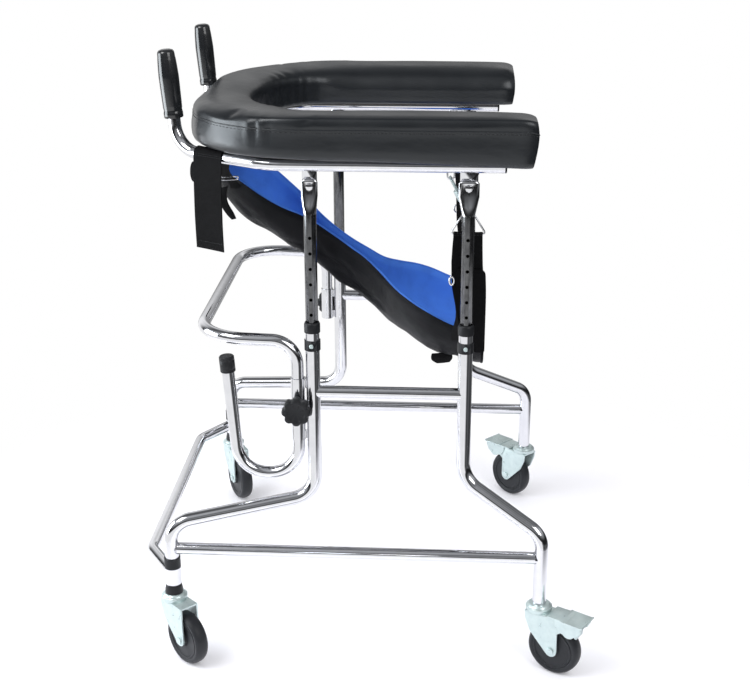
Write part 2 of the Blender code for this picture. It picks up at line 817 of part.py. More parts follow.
def staple(sign):
    """The small welded wire bow that the snap hook hangs on."""
    x = sign * STAPLE_X
    top = RAIL_Z - WELD_DEPTH
    corners = [
        (x, STAPLE_Y - STAPLE_HALF, top),
        (x, STAPLE_Y - STAPLE_HALF, STAPLE_Z),
        (x, STAPLE_Y + STAPLE_HALF, STAPLE_Z),
        (x, STAPLE_Y + STAPLE_HALF, top),
    ]
    return sweep(bent_path(corners, [0.003, 0.003], 2), circle(RING_WIRE, 6), (1, 0, 0))


def make_rail_plug(side, material, parent):
    """The plastic plug in the rail's rear end."""
    plane = plane_along((0, 1, 0), (0, 0, 1), (SIDES[side] * UPRIGHT_X, RAIL_REAR_Y, RAIL_Z))
    spigot = RAIL_RADIUS - RAIL_WALL - GAP
    profile = [
        (0.0, 0.002 - PLUG_DEPTH),
        (spigot, 0.002 - PLUG_DEPTH),
        (spigot, GAP),
        (RAIL_RADIUS, GAP),
        (RAIL_RADIUS, PLUG_LIP - 0.001),
        (RAIL_RADIUS - 0.002, PLUG_LIP),
        (0.0, PLUG_LIP + 0.0005),
    ]
    plug = make_object(f"{side}_rail_plug", lathe(profile, TUBE_SIDES, plane))
    return finish_part(plug, material, parent)


def make_grip(side, material, parent):
    """A moulded grip with shallow finger waves and a flared lower collar, closed at the top."""
    turn, top = (Vector(corner) for corner in rail_corners(side)[-2:])
    along = (top - turn).normalized()
    plane = plane_along(along, (1, 0, 0), top)
    inner = RAIL_RADIUS + GAP
    outer = inner + GRIP_WALL
    length = (HANDLE_TOP_Z - GRIP_BOTTOM_Z) / along.z
    waves = 3
    profile = [(0.0, GAP + 0.008), (outer - 0.005, GAP + 0.0075), (outer - 0.001, GAP + 0.003)]
    high, low = -0.003, 0.016 - length
    for i in range(2 * waves + 1):
        share = i / (2 * waves)
        radius = outer - GRIP_TAPER * share ** 2 - (0.0 if i % 2 else 0.0010)
        profile.append((radius, high + (low - high) * share))
    profile += [
        (inner + GRIP_FLARE, 0.008 - length),
        (inner + GRIP_FLARE, -length),
        (inner, -length),
        (inner, GAP),
        (0.0, GAP),
    ]
    grip = make_object(f"{side}_grip", lathe(profile, TUBE_SIDES, plane))
    return finish_part(grip, material, parent)


def band_outline(half_width, rear_y, steps):
    """The U-shaped plan of a band that follows the pad's middle line."""
    outer, inner = [], []
    for radius, points in ((PAD_BEND + half_width, outer), (PAD_BEND - half_width, inner)):
        points.append((PAD_CENTRE_X + radius, rear_y))
        points.extend(arc((PAD_CENTRE_X, PAD_CENTRE_Y), radius, 0, -90, steps))
        points.extend(arc((-PAD_CENTRE_X, PAD_CENTRE_Y), radius, -90, -180, steps))
        points.append((-PAD_CENTRE_X - radius, rear_y))
    return outer + inner[::-1]


def board_shape(grow, low, high):
    outline = band_outline(BOARD_HALF_WIDTH + grow, PAD_REAR_Y - BOARD_REAR_INSET + grow, PAD_ARC_STEPS)
    half = len(outline) // 2
    bm = bmesh.new()
    lower = [bm.verts.new((x, y, low)) for x, y in outline]
    upper = [bm.verts.new((x, y, high)) for x, y in outline]
    bridge(bm, [(lower, upper)])
    for verts in (lower, upper):
        for i in range(half - 1):
            bm.faces.new((verts[i], verts[i + 1], verts[-2 - i], verts[-1 - i]))
    return bm


def make_board(material, parent):
    """The plywood board under the pad, which lies on the rails, notched where the straps cross."""
    low = RAIL_Z + RAIL_RADIUS + GAP
    board = make_object("pad_board", board_shape(0.0, low, low + BOARD_THICKNESS))
    for sign in SIDES.values():
        plane, _ = front_strap_plane(sign)
        half = FRONT_STRAP_WIDTH / 2 + 0.003
        reach = RAIL_RADIUS + 0.006
        outline = [(-reach, 0.0), (reach, 0.0), (reach, 0.030), (-reach, 0.030)]
        cut(board, prism(outline, -half, half, plane))
    return finish_part(board, material, parent)


def pad_path():
    """The pad's middle line, and how full the section is at each point."""
    rear = [PAD_REAR_Y - inset for inset in (0.0, 0.003, 0.010, 0.024)]
    arm = [rear[-1] + (PAD_CENTRE_Y - rear[-1]) * i / PAD_ARM_STEPS for i in range(1, PAD_ARM_STEPS)]
    line = [(PAD_CENTRE_X + PAD_BEND, y) for y in rear + arm]
    line += arc((PAD_CENTRE_X, PAD_CENTRE_Y), PAD_BEND, 0, -90, PAD_ARC_STEPS)
    line += [(0.0, PAD_CENTRE_Y - PAD_BEND)]
    mirrored = [(-x, y) for x, y in line[-2::-1]]
    fullness = [0.90, 0.955, 0.99] + [1.0] * (len(line) - 3)
    return line + mirrored, fullness + fullness[-2::-1]


def lip_drop(y):
    """How far the pad's outer edge hangs below its underside: nothing over the front, where the rails cross."""
    share = (y - PAD_LIP_START_Y) / (PAD_LIP_FULL_Y - PAD_LIP_START_Y)
    return PAD_LIP_DROP * max(0.05, min(1.0, share))


def pad_section(fullness, drop):
    """A cushion's cross-section as (outwards, z) points: fuller outside, drawn in under each seam."""
    half = PAD_WIDTH / 2 * fullness
    low = PAD_BOTTOM_Z
    lip = low - drop
    height = 0.5 + 0.5 * fullness
    inner_top = low + (PAD_INNER_TOP_Z - low) * height
    outer_top = low + (PAD_OUTER_TOP_Z - low) * height
    middle = (outer_top + low) / 2
    return [
        (0.006 - half, low),
        (0.0005 - half, low + 0.008),
        (PAD_SIDE_DRAW - half, middle - 0.006),
        (0.0015 - half, inner_top - 0.0145),
        (-half, inner_top - 0.011),
        (0.004 - half, inner_top - 0.0035),
        (0.012 - half, inner_top),
        (-0.25 * half, inner_top + 0.0040),
        (0.25 * half, outer_top - 0.0010),
        (half - 0.022, outer_top),
        (half - 0.009, outer_top - 0.0025),
        (half - 0.002, outer_top - 0.0070),
        (half, outer_top - 0.0105),
        (half - 0.0015, outer_top - 0.0140),
        (half - PAD_SIDE_DRAW, middle - 0.004),
        (half - 0.0005, lip + 0.008),
        (half - 0.006, lip),
        (half - PAD_LIP + 0.002, lip),
        (half - PAD_LIP, low),
    ]


def make_pad(material, parent):
    """The horseshoe arm pad: crowned, its sides drawn in under the seams, recessed for the board."""
    line, fullness = pad_path()
    bm = bmesh.new()
    rings = []
    for i, (x, y) in enumerate(line):
        before = Vector(line[max(i - 1, 0)])
        after = Vector(line[min(i + 1, len(line) - 1)])
        along = (after - before).normalized()
        across = Vector((-along.y, along.x))
        section = pad_section(fullness[i], lip_drop(y))
        rings.append([bm.verts.new((x + across.x * u, y + across.y * u, z)) for u, z in section])
    bridge(bm, list(zip(rings, rings[1:])))
    bm.faces.new(rings[0])
    bm.faces.new(rings[-1])
    pad = make_object("arm_pad", bm)
    recess_top = RAIL_Z + RAIL_RADIUS + BOARD_THICKNESS + 2 * GAP
    cut(pad, board_shape(GAP, PAD_BOTTOM_Z - CUT_PAST, recess_top))
    return finish_part(pad, material, parent)


def make_guard_bar(material, parent):
    """The U-shaped front guard, whose two ends drop into the clamp sleeves."""
    half = [
        (UPRIGHT_X, GUARD_Y, GUARD_BOTTOM_Z),
        (UPRIGHT_X, GUARD_Y, GUARD_REAR_Z),
        (UPRIGHT_X, GUARD_FRONT_Y, GUARD_FRONT_Z),
    ]
    corners = half + [(-x, y, z) for x, y, z in half[::-1]]
    radii = [GUARD_REAR_BEND, GUARD_CORNER_BEND, GUARD_CORNER_BEND, GUARD_REAR_BEND]
    path = bent_path(corners, radii, WIDE_BEND_STEPS)
    bar = make_object("guard_bar", sweep(path, circle(GUARD_RADIUS, TUBE_SIDES), (1, 0, 0)))
    return finish_part(bar, material, parent)


def clamp_shape(name, sign, low, high, tab_heights):
    """A vertical sleeve with a threaded boss and two welded tabs that reach to the front leg."""
    x = sign * UPRIGHT_X
    clamp = make_object(name, rod((x, GUARD_Y, low), (x, GUARD_Y, high), CLAMP_RADIUS))
    boss_end = x + sign * CLAMP_BOSS_REACH
    unite(clamp, rod((x, GUARD_Y, KNOB_Z), (boss_end, GUARD_Y, KNOB_Z), CLAMP_BOSS_RADIUS, SMALL_SIDES))
    plane = upright_plane(x, 0.0)
    for z in tab_heights:
        outline = [
            (-CLAMP_TAB_HALF_WIDTH, GUARD_Y + CLAMP_RADIUS - WELD_DEPTH),
            (CLAMP_TAB_HALF_WIDTH, GUARD_Y + CLAMP_RADIUS - WELD_DEPTH),
            (CLAMP_TAB_HALF_WIDTH, FRONT_POST_Y),
            (-CLAMP_TAB_HALF_WIDTH, FRONT_POST_Y),
        ]
        half = CLAMP_TAB_HEIGHT / 2
        unite(clamp, prism(outline, z - half, z + half, plane))
    cut(clamp, rod((x, FRONT_POST_Y, low), (x, FRONT_POST_Y, high), LEG_RADIUS + GAP))
    return clamp


def knob_hole(sign):
    x = sign * UPRIGHT_X
    far = x + sign * (CLAMP_BOSS_REACH + CUT_PAST)
    return rod((x, GUARD_Y, KNOB_Z), (far, GUARD_Y, KNOB_Z), KNOB_SCREW_RADIUS + GAP, SMALL_SIDES)


def make_hook_sleeve(material, parent):
    """The left clamp sleeve, which runs on below as the crutch hook."""
    tabs = (LEFT_CLAMP_TOP_Z - 0.011, LEFT_CLAMP_BOTTOM_Z + 0.009)
    sleeve = clamp_shape("left_hook_sleeve", 1.0, LEFT_CLAMP_BOTTOM_Z, LEFT_CLAMP_TOP_Z, tabs)
    corners = [
        (UPRIGHT_X, GUARD_Y, LEFT_CLAMP_BOTTOM_Z + WELD_DEPTH / 2),
        (UPRIGHT_X, GUARD_Y, HOOK_LOW_Z),
        (UPRIGHT_X, HOOK_FRONT_Y, HOOK_LOW_Z),
        (UPRIGHT_X, HOOK_TIP_Y, HOOK_TIP_Z),
    ]
    path = bent_path(corners, [HOOK_BEND, HOOK_BEND], WIDE_BEND_STEPS)
    unite(sleeve, sweep(path, circle(GUARD_RADIUS, TUBE_SIDES), (1, 0, 0)))
    bore_low = LEFT_CLAMP_BOTTOM_Z + WELD_DEPTH / 2
    cut(
        sleeve,
        rod((UPRIGHT_X, GUARD_Y, bore_low), (UPRIGHT_X, GUARD_Y, LEFT_CLAMP_TOP_Z + CUT_PAST), GUARD_RADIUS + GAP),
        knob_hole(1.0),
    )
    return finish_part(sleeve, material, parent)


def make_clamp_sleeve(material, parent):
    """The right clamp sleeve, open at both ends."""
    tabs = (RIGHT_CLAMP_TOP_Z - 0.010, RIGHT_CLAMP_BOTTOM_Z + 0.010)
    sleeve = clamp_shape("right_clamp_sleeve", -1.0, RIGHT_CLAMP_BOTTOM_Z, RIGHT_CLAMP_TOP_Z, tabs)
    low, high = RIGHT_CLAMP_BOTTOM_Z - CUT_PAST, RIGHT_CLAMP_TOP_Z + CUT_PAST
    cut(
        sleeve,
        rod((-UPRIGHT_X, GUARD_Y, low), (-UPRIGHT_X, GUARD_Y, high), GUARD_RADIUS + GAP),
        knob_hole(-1.0),
    )
    return finish_part(sleeve, material, parent)


def make_hook_cap(material, parent):
    """The plastic cap on the crutch hook's free end."""
    tip = Vector((UPRIGHT_X, HOOK_TIP_Y, HOOK_TIP_Z))
    along = tip - Vector((UPRIGHT_X, HOOK_FRONT_Y, HOOK_LOW_Z))
    plane = plane_along(along, (1, 0, 0), tip)
    inner = GUARD_RADIUS + GAP
    outer = inner + HOOK_CAP_WALL
    profile = [
        (0.0, GAP),
        (inner, GAP),
        (inner, -HOOK_CAP_LENGTH),
        (outer, -HOOK_CAP_LENGTH),
        (outer, 0.0015),
        (outer - 0.0015, 0.003),
        (0.0, 0.003),
    ]
    cap = make_object("hook_cap", lathe(profile, TUBE_SIDES, plane))
    return finish_part(cap, material, parent)


def make_knob(side, material, parent):
    """An eight-lobed clamp knob with its screw, which stops at the guard bar."""
    sign = SIDES[side]
    points = KNOB_LOBES * KNOB_POINTS_PER_LOBE
    outline = []
    for i in range(points):
        angle = 2 * math.pi * i / points
        radius = KNOB_MEAN_RADIUS + KNOB_LOBE * math.cos(KNOB_LOBES * angle)
        outline.append((radius * math.cos(angle), radius * math.sin(angle)))
    small = [(0.86 * u, 0.86 * v) for u, v in outline]
    face = UPRIGHT_X + CLAMP_BOSS_REACH + GAP
    origin = (sign * face, GUARD_Y, KNOB_Z)
    plane = plane_along((sign, 0, 0), (0, 0, 1), origin)
    levels = [
        (0.0, small),
        (0.003, outline),
        (KNOB_THICKNESS - 0.003, outline),
        (KNOB_THICKNESS, small),
    ]
    knob = make_object(f"{side}_knob", loft(levels, plane))
    tip = (sign * (UPRIGHT_X + GUARD_RADIUS + GAP), GUARD_Y, KNOB_Z)
    inside = (sign * (face + WELD_DEPTH), GUARD_Y, KNOB_Z)
    unite(knob, rod(tip, inside, KNOB_SCREW_RADIUS, SMALL_SIDES))
    return finish_part(knob, material, parent, origin)


def sling_surface(thickness):
    """The trough of cloth between the rims, as a closed sheet of the given thickness."""
    bm = bmesh.new()
    rows = []
    for y, rim, half_width, depth in SLING_STATIONS:
        row = []
        for i in range(SLING_ACROSS + 1):
            angle = math.pi * i / SLING_ACROSS
            u = math.copysign(abs(math.cos(angle)) ** 0.66, math.cos(angle))
            v = math.sin(angle) ** 0.66
            fold = SLING_FOLD * math.sin(2 * math.pi * y / SLING_FOLD_PITCH) * math.sin(angle)
            row.append(bm.verts.new(((half_width + fold) * u, y, rim - (depth + fold) * v)))
        rows.append(row)
    for first, second in zip(rows, rows[1:]):
        for i in range(SLING_ACROSS):
            bm.faces.new((first[i], first[i + 1], second[i + 1], second[i]))
    sheet = make_object("sheet", bm)
    solidify = sheet.modifiers.new("cloth", "SOLIDIFY")
    solidify.thickness = thickness
    solidify.offset = 0.0
    solidify.use_even_offset = True
    solidify.thickness_clamp = 1.0
    graph = bpy.context.evaluated_depsgraph_get()
    mesh = bpy.data.meshes.new_from_object(sheet.evaluated_get(graph))
    bpy.data.objects.remove(sheet, do_unlink=True)
    thick = bmesh.new()
    thick.from_mesh(mesh)
    return thick


def make_sling(material, parent):
    sling = make_object("seat_sling", sling_surface(SLING_CLOTH))
    return finish_part(sling, material, parent)


def front_strap_plane(sign):
    """The frame of a front strap: outwards from the rail, up, and along the rail."""
    turn = Vector((sign * UPRIGHT_X, RAIL_TURN_Y, 0.0))
    handle = Vector((sign * HANDLE_X, HANDLE_Y, 0.0))
    share = (FRONT_STRAP_Y - RAIL_TURN_Y) / (HANDLE_Y - RAIL_TURN_Y)
    centre = turn + (handle - turn) * share
    along = (handle - turn).normalized()
    up = Vector((0, 0, 1))
    outwards = along.cross(up) * -sign
    matrix = Matrix((outwards, up, outwards.cross(up))).transposed().to_4x4()
    centre.z = RAIL_Z
    return Matrix.Translation(centre) @ matrix, centre


def ribbon(stations, thickness):
    """A flat band through (centre, direction across, half width) stations."""
    bm = bmesh.new()
    centres = [Vector(station[0]) for station in stations]
    rings = []
    for i, (_, across, half_width) in enumerate(stations):
        along = centres[min(i + 1, len(centres) - 1)] - centres[max(i - 1, 0)]
        across = Vector(across).normalized() * half_width
        normal = along.cross(across).normalized() * thickness / 2
        corners = (across + normal, across - normal, -across - normal, normal - across)
        rings.append([bm.verts.new(centres[i] + corner) for corner in corners])
    bridge(bm, list(zip(rings, rings[1:])))
    bm.faces.new(rings[0])
    bm.faces.new(rings[-1])
    return bm


def make_front_strap(side, material, parent):
    """Webbing over the rail: a free tail outside, and the pull to the sling's front corner inside.

    Both are shaped on the right, and the left one is turned over.
    """
    sign = SIDES["right"]
    plane, _ = front_strap_plane(sign)
    turn = plane.to_3x3()
    along_rail = turn @ Vector((0.0, 0.0, 1.0))
    if along_rail.y < 0.0:
        along_rail.negate()
    reach = RAIL_RADIUS + GAP + STRAP_THICKNESS / 2
    half = FRONT_STRAP_WIDTH / 2
    outer = [
        (reach + 0.002, FRONT_TAIL_Z - RAIL_Z),
        (reach + 0.003, (FRONT_TAIL_Z - RAIL_Z) / 2),
        (reach, -0.012),
        *arc((0.0, 0.0), reach, 0, 180, 8),
    ]
    stations = [(plane @ Vector((u, v, 0.0)), along_rail, half) for u, v in outer]
    for (x, y, z), share in zip(FRONT_STRAP_PULL, (0.72, 0.50, 0.50)):
        across = along_rail.lerp(Vector((0.0, 1.0, 0.0)), 1.6 * (1.0 - share))
        stations.append((Vector((sign * x, y, z)), across, half * share))
    strap = make_object(f"{side}_front_strap", ribbon(stations, STRAP_THICKNESS))
    seat_on_sling(strap, material, parent)
    if side == "left":
        strap.data.transform(Matrix.Diagonal((-1.0, 1.0, 1.0, 1.0)))
        strap.data.flip_normals()
    return strap


def seat_on_sling(strap, material, parent):
    """Cut the strap's end to the sling's outer face and keep the longest piece."""
    tool = make_object("sling_cutter", sling_surface(SLING_CLOTH + 2 * GAP))
    apply_boolean(strap, tool, "DIFFERENCE", self_crossing=True)
    keep_largest(strap)
    return finish_part(strap, material, parent)


def keep_largest(obj):
    """Drop the offcuts that a cut leaves."""
    bm = bmesh.new()
    bm.from_mesh(obj.data)
    left = set(bm.verts)
    islands = []
    while left:
        island = set()
        queue = [left.pop()]
        while queue:
            vert = queue.pop()
            island.add(vert)
            for edge in vert.link_edges:
                other = edge.other_vert(vert)
                if other in left:
                    left.discard(other)
                    queue.append(other)
        islands.append(island)
    islands.sort(key=len)
    for island in islands[:-1]:
        bmesh.ops.delete(bm, geom=list(island), context="VERTS")
    bm.to_mesh(obj.data)
    bm.free()


def rear_strap_plane(sign):
    """The frame of a rear strap: outwards along X, up, and along Y."""
    columns = (Vector((sign, 0, 0)), Vector((0, 0, 1)), Vector((0, -sign, 0)))
    matrix = Matrix(columns).transposed().to_4x4()
    return Matrix.Translation((0.0, REAR_STRAP_Y, 0.0)) @ matrix


def make_rear_strap(side, material, parent):
    """Webbing through the triangle ring: a free tail outside, the sling's rear corner inside."""
    sign = SIDES[side]
    reach = RING_WIRE + GAP + STRAP_THICKNESS / 2
    bar = (RING_BAR_X, RING_BAR_Z)
    path = [
        (RING_BAR_X - 0.024, REAR_TAIL_Z),
        (RING_BAR_X - 0.006, 0.675),
        (RING_BAR_X + reach, RING_BAR_Z - 0.006),
        *arc(bar, reach, 0, 180, 6),
        (RING_BAR_X - reach, RING_BAR_Z - 0.006),
        (RING_BAR_X - 0.022, 0.685),
        (RING_BAR_X - 0.055, 0.617),
        (RING_BAR_X - 0.112, 0.547),
    ]
    half = REAR_STRAP_WIDTH / 2
    plane = rear_strap_plane(sign)
    strap = make_object(f"{side}_rear_strap", band(path, STRAP_THICKNESS, -half, half, plane))
    return seat_on_sling(strap, material, parent)


def make_triangle_ring(side, material, parent):
    """A wire triangle: the strap loops its lower bar, the snap hook its short top."""
    x = SIDES[side] * RING_BAR_X
    corners = [
        (x, REAR_STRAP_Y - RING_HALF_BAR, RING_BAR_Z),
        (x, REAR_STRAP_Y + RING_HALF_BAR, RING_BAR_Z),
        (x, REAR_STRAP_Y + RING_HALF_APEX, RING_APEX_Z),
        (x, REAR_STRAP_Y - RING_HALF_APEX, RING_APEX_Z),
    ]
    path = closed_path(corners, 0.003, 2)
    ring = make_object(f"{side}_triangle_ring", sweep(path, circle(RING_WIRE, 6), (1, 0, 0), True))
    return finish_part(ring, material, parent)


def make_snap_hook(side, material, parent):
    """A long wire link with a swivel body, between the rail's staple and the triangle ring."""
    sign = SIDES[side]
    reach = RING_WIRE + HOOK_WIRE + GAP
    top = Vector((sign * STAPLE_X, STAPLE_Y, STAPLE_Z))
    apex = Vector((sign * RING_BAR_X, REAR_STRAP_Y - 0.002, RING_APEX_Z))
    down = (apex - top).normalized()
    across = Vector((0, 1, 0)).cross(down).normalized()
    first = top - down * (reach - HOOK_LOOP)
    last = apex + down * (reach - HOOK_LOOP)
    path = []
    for i in range(5):
        angle = math.pi * i / 4
        path.append(first - down * HOOK_LOOP * math.sin(angle) + across * HOOK_LOOP * math.cos(angle))
    for i in range(5):
        angle = math.pi * i / 4
        path.append(last + down * HOOK_LOOP * math.sin(angle) - across * HOOK_LOOP * math.cos(angle))
    link = sweep(path, circle(HOOK_WIRE, 6), down.cross(across), True)
    hook = make_object(f"{side}_snap_hook", link)
    middle = (first + last) / 2
    half = down * HOOK_BODY_LENGTH / 2
    unite(hook, rod(middle - half, middle + half, HOOK_BODY_RADIUS, SMALL_SIDES, across))
    return finish_part(hook, material, parent)


def fork_outline(braked):
    """The side of a caster fork, as (x, z) points anticlockwise from the head's front edge."""
    points = [(-FORK_HEAD_X, FORK_TOP_Z), (-FORK_HEAD_X + 0.0015, 0.1020), (-FORK_HEAD_X + 0.0115, 0.0780)]
    points += arc((TRAIL, WHEEL_RADIUS), FORK_BOSS_RADIUS, 212, 360, 5)
    if braked:
        pivot = (PEDAL_PIVOT_X, PEDAL_PIVOT_Z)
        points += [(TRAIL + 0.0115, 0.0880)]
        points += arc(pivot, PEDAL_LOBE_RADIUS, 245, 450, 6)
    points += [(FORK_TAIL_X, FORK_TOP_Z)]
    return points


def plane_xz():
    """A frame for outlines of (x, z) points whose height runs along -Y."""
    columns = (Vector((1, 0, 0)), Vector((0, 0, 1)), Vector((0, -1, 0)))
    return Matrix(columns).transposed().to_4x4()


def make_fork(corner, material, parent):
    """A pressed fork with its bearing head, the stem in the leg, and the axle bolt."""
    braked = corner.endswith("rear")
    outer = FORK_INNER_Y + FORK_PLATE
    plane = plane_xz()
    crown = [
        (-FORK_HEAD_X, FORK_TOP_Z - FORK_CROWN),
        (FORK_TAIL_X, FORK_TOP_Z - FORK_CROWN),
        (FORK_TAIL_X, FORK_TOP_Z),
        (-FORK_HEAD_X, FORK_TOP_Z),
    ]
    fork = make_object(f"{corner}_fork", prism(crown, -outer, outer, plane))
    outline = fork_outline(braked)
    unite(fork, prism(outline, FORK_INNER_Y, outer, plane), prism(outline, -outer, -FORK_INNER_Y, plane))
    head = [
        (0.0, FORK_TOP_Z - FORK_CROWN / 2),
        (HEAD_RADIUS - 0.002, FORK_TOP_Z - FORK_CROWN / 2),
        (HEAD_RADIUS, FORK_TOP_Z + 0.003),
        (HEAD_RADIUS, HEAD_WAIST_Z),
        (HEAD_RADIUS - 0.0025, HEAD_WAIST_Z + 0.0015),
        (HEAD_RADIUS - 0.002, HEAD_TOP_Z - 0.004),
        (HEAD_RADIUS - 0.006, HEAD_TOP_Z),
        (STEM_RADIUS, HEAD_TOP_Z),
        (STEM_RADIUS, HEAD_TOP_Z + STEM_REACH),
        (0.0, HEAD_TOP_Z + STEM_REACH),
    ]
    unite(fork, lathe(head, TUBE_SIDES, upright_plane(0.0, 0.0)))
    axle = [
        (0.0, -outer - AXLE_HEAD_HEIGHT),
        (AXLE_HEAD_RADIUS, -outer - AXLE_HEAD_HEIGHT),
        (AXLE_HEAD_RADIUS, -outer + 0.0005),
        (AXLE_RADIUS, -outer + 0.0005),
        (AXLE_RADIUS, outer - 0.0005),
        (AXLE_HEAD_RADIUS, outer - 0.0005),
        (AXLE_HEAD_RADIUS, outer + AXLE_HEAD_HEIGHT),
        (0.0, outer + AXLE_HEAD_HEIGHT),
    ]
    unite(fork, lathe(axle, SMALL_SIDES, plane_along((0, 1, 0), (0, 0, 1), (TRAIL, 0.0, WHEEL_RADIUS))))
    if braked:
        pin = (PEDAL_PIVOT_X, PEDAL_PIVOT_Z)
        cut(
            fork,
            rod(
                (pin[0], -outer - CUT_PAST, pin[1]),
                (pin[0], outer + CUT_PAST, pin[1]),
                PEDAL_PIN_RADIUS + GAP,
                SMALL_SIDES,
            ),
        )
    return finish_part(fork, material, parent, local=True)


def make_wheel(corner, material, parent):
    """A solid tyre on a hub, with a flat of its tread on the floor."""
    flats = 1 / math.cos(math.pi / WHEEL_SIDES)
    half = [
        (AXLE_RADIUS + GAP, HUB_HALF_LENGTH),
        (HUB_RADIUS, HUB_HALF_LENGTH),
        (HUB_RADIUS + 0.0015, 0.0110),
        (0.0430 * flats, WHEEL_HALF_WIDTH),
        ((WHEEL_RADIUS - 0.0025) * flats, WHEEL_HALF_WIDTH - 0.0030),
        (WHEEL_RADIUS * flats, WHEEL_HALF_WIDTH - 0.0085),
    ]
    profile = half + [(radius, -y) for radius, y in half[::-1]]
    origin = (TRAIL, 0.0, WHEEL_RADIUS)
    plane = plane_along((0, 1, 0), (0, 0, 1), origin)
    wheel = make_object(f"{corner}_wheel", lathe(profile, WHEEL_SIDES, plane, math.pi / WHEEL_SIDES))
    return finish_part(wheel, material, parent, origin, local=True)


def make_pedal(corner, material, parent):
    """A pressed brake pedal on its pin: top plate, wider foot flap, two cheeks and the shoe."""
    plane = plane_xz()
    cheek_in = FORK_INNER_Y + FORK_PLATE + 0.0004
    cheek_out = cheek_in + PEDAL_SHEET
    plate = [
        (HEAD_RADIUS + 0.0028, PEDAL_TOP_Z),
        (0.0660, PEDAL_TOP_Z),
    ]
    flap = [
        (0.0540, PEDAL_TOP_Z + 0.0008),
        (0.0600, PEDAL_TOP_Z),
        (PEDAL_END_X - 0.004, PEDAL_END_Z),
        (PEDAL_END_X, PEDAL_END_Z + 0.0016),
    ]
    pedal = make_object(f"{corner}_pedal", band(plate, PEDAL_SHEET, -cheek_out, cheek_out, plane))
    wide = cheek_out + 0.003
    unite(pedal, band(flap, PEDAL_SHEET + 0.0003, -wide, wide, plane))
    cheek = [
        (0.0420, PEDAL_TOP_Z),
        (0.0420, 0.1080),
        (0.0500, 0.0960),
        *arc((0.0700, 0.1010), 0.0125, 215, 325, 4),
        (0.0880, 0.0990),
        (0.0940, 0.1100),
        (PEDAL_END_X - 0.004, PEDAL_END_Z),
        (0.0660, PEDAL_TOP_Z),
    ]
    unite(pedal, prism(cheek, cheek_in, cheek_out, plane), prism(cheek, -cheek_out, -cheek_in, plane))
    shoe = [
        (0.0740, PEDAL_TOP_Z - 0.0005),
        (0.0780, 0.0880),
        (0.0800, 0.0860),
        (0.0830, 0.0870),
        (0.0850, PEDAL_TOP_Z - 0.0010),
    ]
    unite(pedal, prism(shoe, -FORK_INNER_Y + 0.0035, FORK_INNER_Y - 0.0035, plane))
    pivot = (PEDAL_PIVOT_X, PEDAL_PIVOT_Z)
    unite(
        pedal,
        rod(
            (pivot[0], -cheek_out - 0.0005, pivot[1]),
            (pivot[0], cheek_out + 0.0005, pivot[1]),
            PEDAL_PIN_RADIUS,
            SMALL_SIDES,
        ),
    )
    return finish_part(pedal, material, parent, (pivot[0], 0.0, pivot[1]), local=True)


def build():
    clear_scene()
    look = make_materials()
    base = make_anchor("base_frame", (0.0, 0.0, 0.0))
    upper = make_anchor("height_slide", (0.0, 0.0, LOCK_Z))
    upper.parent = base
    guard = make_anchor("guard_slide", (0.0, GUARD_Y, KNOB_Z))
    guard.parent = base
    make_crossbar(look["chrome"], base)
    make_hook_sleeve(look["chrome"], base)
    make_clamp_sleeve(look["chrome"], base)
    make_hook_cap(look["plastic"], base)
    make_guard_bar(look["chrome"], guard)
    make_board(look["board"], upper)
    make_pad(look["leather"], upper)
    make_sling(look["cloth"], upper)
    for side in SIDES:
        make_lower_bar(side, look["chrome"], base)
        make_stem_collar(side, look["plastic"], base)
        make_stem_bush(side, look["plastic"], base)
        make_knob(side, look["plastic"], base)
        make_rail(side, look["chrome"], upper)
        make_rail_plug(side, look["plastic"], upper)
        make_grip(side, look["plastic"], upper)
        make_front_strap(side, look["webbing"], upper)
        make_rear_strap(side, look["webbing"], upper)
        make_triangle_ring(side, look["chrome"], upper)
        make_snap_hook(side, look["chrome"], upper)
        for end in ENDS:
            make_leg(side, end, look["chrome"], base)
            make_post(side, end, look["chrome"], upper)
            make_end_bush(side, end, look["plastic"], base)
            make_lock_collar(side, end, look["plastic"], base)
            make_lock_button(side, end, look["plastic"], base)
            corner = f"{side}_{end}"
            place = (SIDES[side] * FOOT_X, FOOT_Y[end], 0.0)
            swivel = make_anchor(f"{corner}_swivel", place, CASTER_TURN_DEG[corner])
            make_fork(corner, look["zinc"], swivel)
            make_wheel(corner, look["rubber"], swivel)
            if end == "rear":
                make_pedal(corner, look["zinc"], swivel)


build()
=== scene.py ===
"""Finishes, soft goods, stage and camera of a rehabilitation walker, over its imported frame."""

import json
import logging
import math
from dataclasses import dataclass, field
from enum import Enum
from typing import Iterable, Sequence

import bmesh
import bpy
from mathutils import Matrix, Vector, noise
from mathutils.bvhtree import BVHTree

